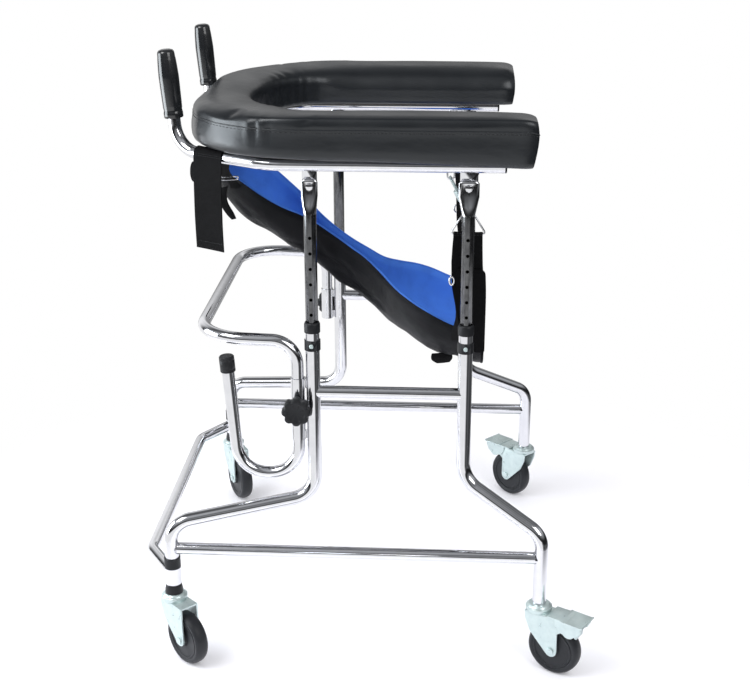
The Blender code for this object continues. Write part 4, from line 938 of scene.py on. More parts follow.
    def knob(self, bm: Mesh, name: str) -> None:
        """A clamp knob with eight rounded lobes, a dished face and its screw.

        Args:
            bm: The mesh that gets the knob.
            name: The knob's name.
        """
        side, guard_y, count = Side.of(name), self.plan.guard_y, 96
        face = self.plan.upright_x + self.knob_off
        rings = []
        for reach, share, lobe in self.knob_levels:
            ring = []
            for i in range(count):
                angle = 2 * math.pi * i / count
                scallop = ((1.0 - math.cos(self.knob_lobes * angle)) / 2) ** 2.2
                full = self.knob_radius - self.lobe_depth * scallop * lobe - self.knob_waist * (1 - lobe)
                radius = share * full or 1e-4
                y, z = guard_y + radius * math.cos(angle), self.knob_z + radius * math.sin(angle)
                ring.append(bm.verts.new(side.at(face + reach, y, z)))
            rings.append(ring)
        bridge(bm, rings)
        foot, axis = Vector(side.at(face, guard_y, self.knob_z)), Vector((side.value, 0.0, 0.0))
        lathe(bm, self.knob_screw, foot, axis, 16)

    def refine(self, name: str, node: Piece, tubes: Sequence[Tube]) -> None:
        """Put a smooth-shaded piece in a hard part's place.

        Args:
            name: The part's name.
            node: The part.
            tubes: Its round tubes, if it gets finer ones.
        """
        look, slot = self.finish_of(name)
        bm = self.turned(name) or self.swept(node, tubes)
        if name.endswith("_front_leg"):
            self.saddle(bm, Side.of(name).value * self.plan.upright_x)
        piece = new_piece(f"{name}_skin", bm, look, self.looks.chrome)
        # A post wears the dark copy of the chrome, whose colour paints in darker reflections, below a height,
        # and the bright chrome above it.
        if slot == "post_chrome":
            for face in piece.data.polygons:
                face.material_index = int(face.center.z > self.plated_from_z)
        if slot == "zinc":
            edge = piece.modifiers.new("edge", "BEVEL")
            edge.width = self.plate_edge
            edge.segments = 2
            edge.limit_method = "ANGLE"
            edge.angle_limit = math.radians(40)
            apply_all(piece)
        piece.data.set_sharp_from_angle(angle=math.radians(self.sharp_degrees))
        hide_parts(name)
        attach(piece, node["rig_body"])

    def dress(self) -> None:
        """Give every hard part its finish and its smooth skin."""
        tubes = self.tubes()
        soft = {"arm_pad", "seat_sling"}
        nodes = [(n, o) for n, o in frame["nodes"].items() if n not in soft and not n.endswith("_strap")]
        for name, node in nodes:
            self.refine(name, node, tubes.get(name, []))
        log.info("hard parts dressed: %d", len(nodes))


# Soft goods


@dataclass
class ArmPad:
    """The horseshoe arm pad: a sewn cover over foam, swollen between its seams."""

    looks: Finishes
    centre: tuple[float, float] = (0.098, -0.104)
    bend: float = 0.156
    width: float = 0.114
    rear_y: float = 0.282
    far_share: float = 0.924
    bottom: float = 0.9255
    top: float = 0.9948
    side_draw: float = 0.0035
    lip: float = 0.022
    lip_drop: float = 0.0030
    lip_slope: float = 0.036
    lip_from: float = -0.135
    lip_to: float = -0.055
    opening: tuple[float, float, float] = (-0.090, 0.197, 0.1315)
    rear_bulge: float = 0.0045
    end_reach: float = 0.022
    step: float = 0.0095
    swell_cap: float = 0.0032
    swell_frames: int = 20
    pucker_depths: tuple[float, float, float, float] = (0.0006, 0.0009, 0.0024, 0.0006)
    welt_radius: float = 0.0010
    stitch_drop: float = 0.0042
    stitch_pitch: float = 0.0055
    thread: float = 0.00045
    outer_seam: int = 13
    held: tuple[int, ...] = (0, 13, 16, 17, 18, 19, 20)
    tight: Outline = ((0.0, 0.025), (0.002, 0.0130), (0.007, 0.0055), (0.016, 0.0015), (0.030, 0.0002))
    broad: Outline = ((0.0005, 0.040), (0.004, 0.0250), (0.011, 0.0135), (0.023, 0.0055), (0.039, 0.0010))
    crisp: Outline = ((0.010, 0.0000), (0.0028, 0.0008), (0.0004, 0.0046), (0.0, 0.0120), (0.0014, 0.0195))
    rounded: Outline = ((0.024, 0.0002), (0.0130, 0.0030), (0.0066, 0.0090), (0.0042, 0.0150), (0.0048, 0.0205))

    def plan(self) -> list[tuple[Vector, Vector, float]]:
        """The pad's middle line, from the near arm's rear end round to the far arm's.

        Returns:
            For each place, the point, the outward direction and the distance from the nearer rear end.
        """
        cx, cy = self.centre
        arm = self.rear_y - cy
        quarter = self.bend * math.pi / 2
        total = 2 * (arm + quarter + cx)
        count = round(total / self.step)
        starts = [0.0, 0.0012, 0.0035]
        walks = starts + [total * i / count for i in range(1, count)] + [total - s for s in starts[::-1]]
        out = []
        for walk in walks:
            near = min(walk, total - walk)
            point, outward = Vector((cx + arm + quarter - near, cy - self.bend)), Vector((0.0, -1.0))
            if near <= arm:
                point, outward = Vector((cx + self.bend, self.rear_y - near)), Vector((1.0, 0.0))
            elif near <= arm + quarter:
                angle = (arm - near) / self.bend
                outward = Vector((math.cos(angle), math.sin(angle)))
                point = Vector((cx, cy)) + outward * self.bend
            if walk > total / 2:
                point.x, outward.x = -point.x, -outward.x
                point.y *= self.far_share if point.y > 0 else 1.0
            out.append((point, outward, near))
        return out

    def inner_reach(self, point: Vector, outward: Vector) -> float:
        """How far the rounded opening's edge is from the middle line.

        Args:
            point: The place on the middle line.
            outward: The direction outwards.

        Returns:
            The distance, as a share of the half width.
        """
        y0, wide, deep = self.opening
        if point.y >= y0:
            return 1.0
        px, py = point.x / wide, (point.y - y0) / deep
        dx, dy = -outward.x / wide, -outward.y / deep
        a, b, c = dx * dx + dy * dy, px * dx + py * dy, px * px + py * py - 1.0
        return (-b - math.sqrt(max(b * b - a * c, 0.0))) / a / (self.width / 2)

    def ring_points(self, point: Vector, outward: Vector, from_end: float) -> list[Vector]:
        """The cover's cross-section as points in space.

        Args:
            point: Its place on the middle line.
            outward: The direction outwards.
            from_end: Its distance from the nearer rear end.

        Returns:
            The points, in the order of the section.
        """
        share = self.inner_reach(point, outward)
        bulge = self.rear_bulge * clamp(1.0 - from_end / 0.020)
        half_height = (self.top - self.bottom) / 2
        out = []
        for u, z in self.section(self.fullness(from_end), point.y):
            across = u * (share if u < 0 else 1.0)
            back = bulge * (1.0 - ((z - self.bottom) / half_height - 1.0) ** 2)
            out.append(Vector((point.x + outward.x * across, point.y + outward.y * across + back, z)))
        return out

    def section(self, full: float, y: float) -> list[tuple[float, float]]:
        """The cover's cross-section.

        Args:
            full: How full the section is, 1 away from the ends.
            y: Where it is along the walker: the outer lip hangs and the inner shoulder is broad on the arms,
                and the outer edge is round in front.

        Returns:
            The (outwards, z) points, from the inner lower edge over the top to the outer lower edge and back.
        """
        half, low = self.width / 2 * full, self.bottom
        hang = (y - self.lip_from) / (self.lip_to - self.lip_from)
        lip = low - self.lip_drop * max(0.05, min(1.0, hang)) - self.lip_slope * max(0.0, y)
        top = low + (self.top - low) * (0.5 + 0.5 * full)
        middle = (top + low) / 2
        soft = clamp((y + 0.170) / 0.110)
        front = clamp((-0.130 - y) / 0.070)
        pairs = zip(self.tight, self.broad)
        shoulder = [(a + (c - a) * soft - half, top - b - (d - b) * soft) for (a, b), (c, d) in pairs]
        pairs = zip(self.crisp, self.rounded)
        edge = [(half - a - (c - a) * front, top - b - (d - b) * front) for (a, b), (c, d) in pairs]
        return [
            (0.006 - half, low),
            (0.0010 - half, low + 0.007),
            (self.side_draw - half, middle - 0.010),
            *shoulder,
            (0.25 * half, top + 0.0001),
            *edge,
            (half - self.side_draw * (1.0 - front), middle - 0.004),
            (half - 0.0005, lip + 0.008),
            (half - 0.006, lip),
            (half - self.lip + 0.002, lip),
            (half - self.lip, low),
            (half - self.lip - 0.004, low),
            (0.012 - half, low),
        ]

    def fullness(self, from_end: float) -> float:
        """How full the section is at a distance from a rear end."""
        return 0.80 + 0.20 * math.sqrt(1.0 - clamp(1.0 - from_end / self.end_reach) ** 2)

    def cover(self) -> Piece:
        """Loft the cover, mark its seams and smooth it once.

        Returns:
            The cover.
        """
        bm = bmesh.new()
        layer = bm.verts.layers.deform.verify()
        crease = bm.edges.layers.float.new("crease_edge")
        rings = [[bm.verts.new(spot) for spot in self.ring_points(*place)] for place in self.plan()]
        count = len(rings[0])
        for first, second in zip(rings, rings[1:]):
            for k in range(count):
                bm.faces.new((first[k], second[k], second[(k + 1) % count], first[(k + 1) % count]))
        ends = (rings[0], rings[-1])
        for ring in ends:
            self.close_end(bm, ring)
        bmesh.ops.recalc_face_normals(bm, faces=bm.faces)
        for vert in [ring[k] for ring in rings for k in self.held] + [v for ring in ends for v in ring]:
            vert[layer][0] = 1.0
        for first, second in zip(rings, rings[1:]):
            for k, sharp in ((self.outer_seam, 0.40), (self.outer_seam - 3, 0.30)):
                bm.edges.get((first[k], second[k]))[crease] = sharp
        pad = new_piece("arm_pad_cover", bm, self.looks.vinyl)
        pad.vertex_groups.new(name="seams")
        smooth = pad.modifiers.new("smooth", "SUBSURF")
        smooth.levels = smooth.render_levels = 1
        return apply_all(pad)

    @staticmethod
    def close_end(bm: Mesh, ring: Sequence[Vert]) -> None:
        """Fill an end with a shrunken inner ring, so that it stays softly flat.

        Args:
            bm: The cover's mesh.
            ring: The end's points.
        """
        middle = sum((v.co for v in ring), Vector()) / len(ring)
        inner = [bm.verts.new(v.co.lerp(middle, 0.35)) for v in ring]
        bridge(bm, [ring, inner])
        bm.faces.new(inner)

    def swell(self, pad: Piece) -> None:
        """Fill the cover with pressure between its held seams, and cap how far it moves.

        Args:
            pad: The cover.
        """
        rest = [v.co.copy() for v in pad.data.vertices]
        cloth = pad.modifiers.new("swell", "CLOTH")
        cloth.settings.use_pressure = True
        cloth.settings.uniform_pressure_force = 4.0
        cloth.settings.effector_weights.gravity = 0.0
        cloth.settings.vertex_group_mass = "seams"
        cloth.settings.quality = 5
        cloth.settings.tension_stiffness = cloth.settings.compression_stiffness = 40.0
        cloth.settings.bending_stiffness = 6.0
        cloth.point_cache.frame_start, cloth.point_cache.frame_end = 1, self.swell_frames
        for step in range(1, self.swell_frames + 1):
            bpy.context.scene.frame_set(step)
        apply_all(pad)
        bpy.context.scene.frame_set(1)
        for vert, start in zip(pad.data.vertices, rest):
            move = vert.co - start
            if move.length > self.swell_cap:
                vert.co = start + move.normalized() * self.swell_cap

    def wrinkle(self, pad: Piece) -> None:
        """Draw soft puckers into the cover where the curve pulls it.

        Args:
            pad: The cover.
        """
        cx, cy = self.centre
        at_inner, at_outer, at_corner, all_over = self.pucker_depths
        for vert in pad.data.vertices:
            x, y, z = vert.co
            if z < self.bottom + 0.006:
                continue
            dx, dy = abs(x) - cx, y - cy
            turn = math.atan2(-dy, dx) if dx > 0 or dy < 0 else 0.0
            reach = math.hypot(dx, dy)
            bent = max(0.0, math.sin(2 * max(0.0, min(turn, math.pi / 2))))
            inner = hump(reach, self.bend - self.width / 2, 0.016)
            outer = hump(reach, self.bend + self.width / 2, 0.010)
            seam = hump(z, self.top - 0.020, 0.014)
            pleat = math.sin(turn * 26 + 2.2 * noise.noise(Vector((x * 30, y * 30, 1.7))))
            depth = at_inner * inner * bent * pleat
            depth += at_outer * outer * seam * bent * math.sin(turn * 17 + 0.8)
            gather = hump(abs(x), 0.300, 0.03) * hump(y, -0.172, 0.024) * hump(z, self.top - 0.022, 0.018)
            depth += at_corner * gather * math.sin((y + 0.172) * 2 * math.pi / 0.024)
            depth += all_over * noise.noise(Vector((x * 9, y * 9, z * 9)))
            vert.co += vert.normal * depth

    def seam_line(self) -> list[Vector]:
        """The line of the outer seam round the pad."""
        return [self.ring_points(*place)[self.outer_seam] for place in self.plan()]

    def welt(self, tree: BVHTree) -> Piece:
        """The thin welt that lies on the cover along the outer seam.

        Args:
            tree: The cover's surface.

        Returns:
            The welt.
        """
        bm = bmesh.new()
        radius = self.welt_radius
        nearest = [tree.find_nearest(point) for point in self.seam_line()]
        tube_along(bm, [spot + normal * radius * 0.25 for spot, normal, _, _ in nearest], radius, 8)
        return new_piece("pad_outer_welt", bm, self.looks.vinyl)

    def stitches(self, tree: BVHTree) -> Piece:
        """The row of stitches below the outer seam.

        Args:
            tree: The cover's surface.

        Returns:
            The row, as one piece.
        """
        bm = bmesh.new()
        line = [tuple(p - Vector((0, 0, self.stitch_drop))) for p in self.seam_line()]
        dense = [Vector(p) for p in catmull(line, 3)]
        walk, start = 0.0, None
        for a, b in zip(dense, dense[1:]):
            walk += (b - a).length
            spot, normal, _, _ = tree.find_nearest(b)
            here = spot + normal * 0.0001
            if start is None:
                start = here
            if walk >= self.stitch_pitch:
                end = start + (here - start) * 0.66
                tube_along(bm, [start, (start + end) / 2 + normal * 0.0004, end], self.thread, 5)
                start, walk = here, 0.0
        return new_piece("pad_outer_stitches", bm, self.looks.thread)

    def build(self) -> None:
        """Make the pad, its welt and its stitches, in place of the plain solid."""
        pad = self.cover()
        self.swell(pad)
        self.wrinkle(pad)
        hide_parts("arm_pad")
        mesh = pad.data
        tree = BVHTree.FromPolygons([v.co for v in mesh.vertices], [p.vertices for p in mesh.polygons])
        for piece in (pad, self.welt(tree), self.stitches(tree)):
            attach(piece)
        log.info("arm pad: %d points", len(pad.data.vertices))


@dataclass
class SeatSling:
    """The padded cloth trough: blue inside, black outside, bound along its rims.

    Its stations run front to rear: place along the walker, height of the rims, half width and depth.
    """

    looks: Finishes
    stations: Outline = (
        (-0.286, 0.853, 0.045, 0.026),
        (-0.276, 0.854, 0.074, 0.052),
        (-0.256, 0.851, 0.090, 0.072),
        (-0.232, 0.838, 0.099, 0.078),
        (-0.200, 0.815, 0.100, 0.078),
        (-0.165, 0.789, 0.085, 0.078),
        (-0.135, 0.769, 0.060, 0.082),
        (-0.107, 0.746, 0.036, 0.086),
        (-0.075, 0.721, 0.026, 0.088),
        (-0.045, 0.699, 0.026, 0.088),
        (-0.015, 0.679, 0.032, 0.089),
        (0.015, 0.656, 0.050, 0.090),
        (0.045, 0.637, 0.088, 0.090),
        (0.075, 0.623, 0.118, 0.090),
        (0.105, 0.609, 0.135, 0.090),
        (0.140, 0.592, 0.141, 0.088),
        (0.175, 0.578, 0.141, 0.084),
        (0.206, 0.567, 0.140, 0.078),
    )
    cloth: float = 0.0036
    across: int = 40
    along: int = 6
    fold: float = 0.0022
    fold_pitch: float = 0.085
    fold_depths: tuple[float, float, float, float] = (0.0030, 0.0032, 0.0026, 0.0016)
    roundness: float = 0.66
    thread_step: tuple[float, float] = (0.009, 0.006)

    def crease(self, y: float, angle: float, half: float) -> float:
        """How far the cloth stands off its smooth shape: pleats at the waist, pulls at the broad ends.

        Args:
            y: The place along the walker.
            angle: The place across, from 0 at the left rim to pi at the right.
            half: The trough's half width there.

        Returns:
            The distance outwards, in metres.
        """
        at_waist, at_seat, at_chest, all_over = self.fold_depths
        belly = math.sin(angle)
        place = Vector((angle * 2.2, y * 26, half * 9))
        waver = [noise.noise(place + Vector(shift)) for shift in ((0, 0, 0), (3, 1, 2), (7, 4, 1))]
        pleats = at_waist * hump(y, -0.055, 0.075) * math.sin(angle * 8.5 + 3.2 * waver[0] + y * 9)
        fan = at_seat * hump(y, 0.13, 0.07) * math.sin(angle * 7 + (y - 0.05) * 30 + 2.5 * waver[1])
        pull = at_chest * hump(y, -0.23, 0.045) * math.sin(angle * 6 - y * 34 + 2.0 * waver[2])
        small = all_over * noise.noise(Vector((angle * 5, y * 70, 2.5)))
        return pleats * belly ** 0.35 + (fan + pull) * belly ** 0.8 + small * belly ** 0.5

    def point(self, station: Sequence[float], angle: float) -> Vector:
        """A point of the cloth's middle surface.

        Args:
            station: The trough's place, rim, half width and depth.
            angle: The place across.

        Returns:
            The point.
        """
        y, rim, half, depth = station
        u = signed_power(math.cos(angle), self.roundness)
        v = math.sin(angle) ** self.roundness if 0 < angle < math.pi else 0.0
        slow = self.fold * math.sin(2 * math.pi * y / self.fold_pitch) * math.sin(angle)
        out = slow + self.crease(y, angle, half)
        return Vector(((half + out) * u, y, rim - (depth + out) * v))

    def rows(self) -> list[list[Vector]]:
        """The grid of points, front to rear, left rim to right rim."""
        turns = [math.pi * i / self.across for i in range(self.across + 1)]
        return [[self.point(station, turn) for turn in turns] for station in catmull(self.stations, self.along)]

    def sheet(self, rows: Sequence[Sequence[Vector]]) -> Piece:
        """The cloth with its thickness, blue on the face that looks up.

        Args:
            rows: The grid of its middle surface.

        Returns:
            The cloth.
        """
        bm = bmesh.new()
        uv = bm.loops.layers.uv.new("cloth")
        wide, long = self.thread_step
        grid = [[bm.verts.new(p) for p in row] for row in rows]
        for j, (first, second) in enumerate(zip(grid, grid[1:])):
            for i in range(self.across):
                face = bm.faces.new((first[i], first[i + 1], second[i + 1], second[i]))
                face.normal_update()
                for loop, (a, b) in zip(face.loops, ((i, j), (i + 1, j), (i + 1, j + 1), (i, j + 1))):
                    loop[uv].uv = (a * wide, b * long)
        middle = grid[len(grid) // 2][self.across // 2]
        middle.normal_update()
        if middle.normal.z < 0:
            bmesh.ops.reverse_faces(bm, faces=bm.faces)
        piece = new_piece("sling_cloth", bm, self.looks.blue, self.looks.lining)
        thick = piece.modifiers.new("cloth", "SOLIDIFY")
        thick.thickness = self.cloth
        thick.offset = 0.0
        thick.material_offset = thick.material_offset_rim = 1
        return apply_all(piece)

    def build(self) -> None:
        """Make the cloth and its bindings, in place of the plain solid."""
        rows = self.rows()
        cloth = self.sheet(rows)
        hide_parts("seat_sling")
        attach(cloth)
        edges = (
            ("sling_left_edge", [row[0] for row in rows], 0.0002, self.looks.blue),
            ("sling_right_edge", [row[-1] for row in rows], 0.0002, self.looks.blue),
            ("sling_front_binding", rows[0], 0.0010, self.looks.webbing),
            ("sling_rear_binding", rows[-1], 0.0010, self.looks.webbing),
        )
        bands = []
        for name, line, over, look in edges:
            bm = bmesh.new()
            tube_along(bm, line, self.cloth / 2 + over, 10)
            bands.append(new_piece(name, bm, look))
            attach(bands[-1])


@dataclass
class Ribbon:
    """A band of webbing through a line of places, each with its direction across and its half width."""

    name: str
    places: Sequence[Place]
    steps: int
    thickness: float = 0.0018
    columns: int = 6
    cup: float = 0.0006
    ripple: float = 0.0004
    stitch_pitch: float = 0.005
    thread: float = 0.0004

    def rows(self) -> tuple[list[list[Vector]], list[Vector]]:
        """The band's middle surface.

        Returns:
            The grid of its points, and its normal at each row.
        """
        dense = catmull([(*centre, *across, half) for centre, across, half in self.places], self.steps)
        centres = [Vector(p[:3]) for p in dense]
        grid, normals = [], []
        for i, p in enumerate(dense):
            across = Vector(p[3:6]).normalized()
            along = centres[min(i + 1, len(centres) - 1)] - centres[max(i - 1, 0)]
            normal = along.cross(across).normalized()
            row = []
            for k in range(self.columns + 1):
                t = 2 * k / self.columns - 1
                wave = self.ripple * noise.noise(Vector((t * 2, i * 0.35, len(self.name))))
                row.append(centres[i] + across * p[6] * t + normal * (self.cup * (1 - t * t) + wave))
            grid.append(row)
            normals.append(normal)
        return grid, normals

    def make(self, look: Material) -> Piece:
        """Build the band.

        Args:
            look: Its material.

        Returns:
            The band.
        """
        grid, normals = self.rows()
        bm = bmesh.new()
        uv = bm.loops.layers.uv.new("cloth")
        half, column = self.thickness / 2, 2 * self.places[0][2] / self.columns
        tops = [[bm.verts.new(p + n * half) for p in row] for row, n in zip(grid, normals)]
        lows = [[bm.verts.new(p - n * half) for p in row] for row, n in zip(grid, normals)]
        rim = [a + b[::-1] for a, b in zip(tops, lows)]
        walk = 0.0
        for j, (first, second) in enumerate(zip(rim, rim[1:])):
            reach = walk + (grid[j + 1][0] - grid[j][0]).length
            for k in range(len(first)):
                nxt = (k + 1) % len(first)
                face = bm.faces.new((first[k], first[nxt], second[nxt], second[k]))
                side, wide = k * column, (k + 1) * column
                for loop, spot in zip(face.loops, ((side, walk), (wide, walk), (wide, reach), (side, reach))):
                    loop[uv].uv = spot
            walk = reach
        bm.faces.new(rim[0])
        bm.faces.new(rim[-1])
        bmesh.ops.recalc_face_normals(bm, faces=bm.faces)
        piece = new_piece(self.name, bm, look)
        piece.data.set_sharp_from_angle(angle=math.radians(50))
        return piece

    def stitches(self, name: str, shares: Sequence[float], lift: float, look: Material) -> Piece:
        """Rows of stitches across the band.

        Args:
            name: The piece's name.
            shares: Where along the band each row is, from 0 to 1.
            lift: How far the thread stands off the band's middle surface, with its sign.
            look: The thread's material.

        Returns:
            The stitches, as one piece.
        """
        grid, normals = self.rows()
        bm = bmesh.new()
        for share in shares:
            i = round(share * (len(grid) - 1))
            left, right = grid[i][0], grid[i][-1]
            count = max(4, round((right - left).length / self.stitch_pitch))
            for k in range(count):
                a, b = (left.lerp(right, (k + part) / count) + normals[i] * lift for part in (0.2, 0.8))
                middle = (a + b) / 2 + normals[i] * math.copysign(0.0003, lift)
                tube_along(bm, [a, middle, b], self.thread, 5)
        return new_piece(name, bm, look)


@dataclass
class Straps:
    """The straps that hang the sling: broad bands over the rails in front, bands through wire rings behind."""

    looks: Finishes
    side: Side
    plan: Plan = Plan()
    front_y: float = -0.265
    front_half: float = 0.031
    front_reach: float = 0.0125
    front_tail: Outline = ((0.003, 0.747), (0.004, 0.800), (0.003, 0.850), (0.001, 0.893))
    over: tuple[float, ...] = tuple(math.pi * i / 6 for i in range(7))
    loop_z: float = 0.878
    loop_half: tuple[float, float] = (0.0165, 0.017)
    loop_bulge: float = 0.0075
    rear_half: float = 0.025
    rear_reach: float = 0.0031
    ring: tuple[float, float] = (0.2475, 0.7885)
    stitch_rows: tuple[float, ...] = (0.02, 0.30, 0.33)
    stitch_lift: float = 0.0011

    def front_axes(self) -> tuple[Vector, Vector, Vector]:
        """The rail under the front strap.

        Returns:
            Its place, the direction outwards and the direction along the rail.
        """
        plan = self.plan
        turn = Vector(self.side.at(plan.upright_x, plan.rail_turn_y, plan.rail_z))
        handle = Vector(self.side.at(plan.handle_x, plan.handle_foot_y, plan.rail_z))
        share = (self.front_y - plan.rail_turn_y) / (plan.handle_foot_y - plan.rail_turn_y)
        along = (turn - handle).normalized()
        return turn.lerp(handle, share), Vector((along.y, -along.x, 0.0)) * self.side.value, along

    def front_places(self) -> list[Place]:
        """The front strap's places, from its free end over the rail to the sling.

        Returns:
            The places.
        """
        centre, outwards, along = self.front_axes()
        reach = self.front_reach
        path = [(reach + out, z) for out, z in self.front_tail]
        path += [(reach * math.cos(turn), self.plan.rail_z + reach * math.sin(turn)) for turn in self.over]
        places = []
        for u, z in path:
            spot = centre + outwards * u
            places.append(((spot.x, spot.y, z), tuple(along), self.front_half))
        ends = ((0.165, -0.2580, 0.876, 0.42), (0.122, -0.2480, 0.846, 0.26), (0.0965, -0.2455, 0.8265, 0.30))
        for *spot, share in ends:
            across = along.lerp(Vector((0.0, 1.0, 0.0)), 1.6 * (1.0 - share)).normalized()
            places.append((self.side.at(*spot), tuple(across), self.front_half * share))
        return places

    def front_loop(self) -> list[Place]:
        """The turned-back end of a front strap, which bulges ahead of the tail just under the rail.

        Returns:
            The places.
        """
        centre, outwards, along = self.front_axes()
        ahead = centre - along * (self.front_half - 0.006)
        wide, high = self.loop_half
        places = []
        for i in range(11):
            turn = math.pi * (0.10 + 1.8 * i / 10)
            spot = ahead + outwards * (0.004 - self.loop_bulge * math.sin(turn))
            places.append(((spot.x, spot.y, self.loop_z - high * math.cos(turn)), tuple(along), wide))
        return places

    def corner_tab(self) -> list[Place]:
        """The narrow free tab that hangs below the sling's front corner.

        Returns:
            The places.
        """
        path = (
            (0.0960, -0.2660, 0.828, 0.007), (0.0950, -0.2700, 0.812, 0.0075),
            (0.0935, -0.2680, 0.795, 0.0075), (0.0925, -0.2590, 0.778, 0.007), (0.0920, -0.2520, 0.767, 0.0045),
        )
        return [(self.side.at(x, y, z), (0.2 * self.side.value, 0.85, 0.25), half) for x, y, z, half in path]

    def rear_places(self) -> list[Place]:
        """The rear strap's places, from its free end through the ring to the sling.

        Returns:
            The places.
        """
        (x, z), reach = self.ring, self.rear_reach
        full = (self.plan.rear.post_y, self.rear_half)
        tail = [(-0.024, 0.565, 0.186, 0.021), (-0.013, 0.620, 0.185, 0.023), (-0.006, 0.675, 0.180, 0.026)]
        tail += [(-0.002, 0.705, 0.176, 0.0275), (-0.0005, 0.735, 0.1745, 0.0265), (reach, z - 0.008, *full)]
        over = [(reach * math.cos(turn), z + reach * math.sin(turn), *full) for turn in self.over]
        down = [(-reach, z - 0.008, *full), (-0.011, 0.735, 0.1735, 0.0265), (-0.022, 0.685, 0.175, 0.026)]
        down += [(-0.038, 0.648, 0.178, 0.023), (-0.055, 0.617, 0.178, 0.022), (-0.084, 0.579, *full)]
        down += [(-0.101, 0.559, *full)]
        return [self.drawn(x + out, *rest) for out, *rest in tail + over + down]

    def rear_overlap(self) -> list[Place]:
        """The second layer of the rear strap's free end, pressed onto the first.

        Returns:
            The places.
        """
        path = (
            (-0.0195, 0.569, 0.187, 0.021), (-0.0085, 0.621, 0.1855, 0.0225), (-0.0015, 0.674, 0.183, 0.025),
            (0.0005, 0.705, 0.1815, 0.0255), (0.0020, 0.720, 0.181, 0.0245), (0.0022, 0.726, 0.180, 0.020),
        )
        return [self.drawn(self.ring[0] + out, *rest) for out, *rest in path]

    def drawn(self, x: float, z: float, y: float, half: float) -> Place:
        """A place on a rear strap; the far strap hangs drawn together below its ring."""
        pull = clamp((0.765 - z) / 0.03) if self.side is Side.RIGHT else 0.0
        return self.side.at(x, y - 0.005 * pull, z), (0.0, 1.0, 0.0), half * (1.0 - 0.40 * pull)

    def rear_tab(self) -> list[Place]:
        """The short tab that hangs below the sling's rear.

        Returns:
            The places.
        """
        path = (
            (0.1085, 0.1310, 0.5195, 0.018), (0.1080, 0.1315, 0.5130, 0.020), (0.1055, 0.1325, 0.5055, 0.019),
            (0.1015, 0.1345, 0.4975, 0.012),
        )
        return [(self.side.at(x, y, z), (0.0, 0.98, 0.12), half) for x, y, z, half in path]

    def hang(self, band: Ribbon, rests_on: str, node: str) -> None:
        """Args:
            band: The band.
            rests_on: What it hangs from; not used.
            node: The plain solid that it stands for, or nothing.
        """
        piece = band.make(self.looks.webbing)
        if node:
            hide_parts(node)
        attach(piece)
        flat, area = cut_size(band.rows()[0])
        log.info("%s: %d points", band.name, len(piece.data.vertices))

    def build(self) -> None:
        """Make the straps of the side."""
        word = self.side.word
        rail, ring = f"{word}_rail", f"{word}_triangle_ring"
        bands = [
            ("front_band", self.front_places, rail, 3),
            ("front_loop", self.front_loop, rail, 3),
            ("front_tab", self.corner_tab, rail, 4),
            ("rear_band", self.rear_places, ring, 2),
            ("rear_overlap", self.rear_overlap, ring, 5),
        ]
        if self.side is Side.LEFT:
            bands.append(("rear_tab", self.rear_tab, ring, 4))
        for kind, places, rests_on, steps in bands:
            band = Ribbon(f"{word}_{kind}", places(), steps)
            sewn = kind.endswith("_band")
            self.hang(band, rests_on, band.name.replace("_band", "_strap") if sewn else "")
            for where, lift in (("out", self.stitch_lift), ("in", -self.stitch_lift)) if sewn else ():
                name = f"{band.name}_stitches_{where}"
                attach(band.stitches(name, self.stitch_rows, lift, self.looks.thread))


@dataclass
class Fittings:
    """Small wire rings and eyelets that the frame's solids leave out."""

    looks: Finishes
    ring: Point = (0.1330, -0.2505, 0.8530)
    ring_half: tuple[float, float] = (0.0070, 0.0160)
    ring_wire: float = 0.0013
    eyelet: tuple[float, float] = (0.2455, 0.7040)
    eyelet_y: tuple[float, float] = (0.1485, 0.1530)
    eyelet_half: tuple[float, float] = (0.0072, 0.0040)
    eyelet_wire: float = 0.0019

    def loop(
        self, name: str, centre: Vector, along: Vector, across: Vector, squareness: float, wire: float
    ) -> None:
        """A closed loop of bright wire.

        Args:
            name: The piece's name.
            centre: Its middle.
            along: One half axis.
            across: The other half axis.
            squareness: 1 for an ellipse, less for a rounded rectangle.
            wire: The wire's radius.
        """
        line = []
        for i in range(32):
            turn = 2 * math.pi * i / 32
            u, v = (signed_power(value, squareness) for value in (math.cos(turn), math.sin(turn)))
            line.append(centre + across * u + along * v)
        bm = bmesh.new()
        tube_along(bm, line, wire, 10, closed=True)
        attach(new_piece(name, bm, self.looks.chrome))

    def build(self) -> None:
        """Make the wire ring of each front strap and the eyelet at the edge of each rear one."""
        x, z = self.eyelet
        for side, y in zip(Side, self.eyelet_y):
            centre, (high, wide) = Vector(side.at(*self.ring)), self.ring_half
            along = Vector(side.at(0.80, 0.10, 0.60)).normalized() * high
            across = Vector(side.at(-0.08, 1.0, 0.05)).normalized() * wide
            self.loop(f"{side.word}_strap_ring", centre, along, across, 0.45, self.ring_wire)
            centre, (high, wide) = Vector(side.at(x, y, z)), self.eyelet_half
            along, across = Vector((0.0, 0.0, high)), Vector((0.0, wide, 0.0))
            self.loop(f"{side.word}_eyelet", centre, along, across, 1.0, self.eyelet_wire)
        log.info("fittings made")


# Stage


@dataclass(frozen=True)
class Lamp:
    """A soft square lamp: where it hangs, what it points at, its side in metres, its power and its tint."""

    name: str
    place: Point
    aim: Point
    size: float
    power: float
    tint: Colour = (1.0, 1.0, 1.0)

    def hang(self) -> None:
        """Put the lamp in the scene."""
        data = bpy.data.lights.new(self.name, "AREA")
        data.size = self.size
        data.energy = self.power
        data.color = self.tint
        obj = bpy.data.objects.new(self.name, data)
        obj.location = self.place
        obj.rotation_euler = (Vector(self.aim) - Vector(self.place)).to_track_quat("-Z", "Y").to_euler()
        bpy.context.scene.collection.objects.link(obj)


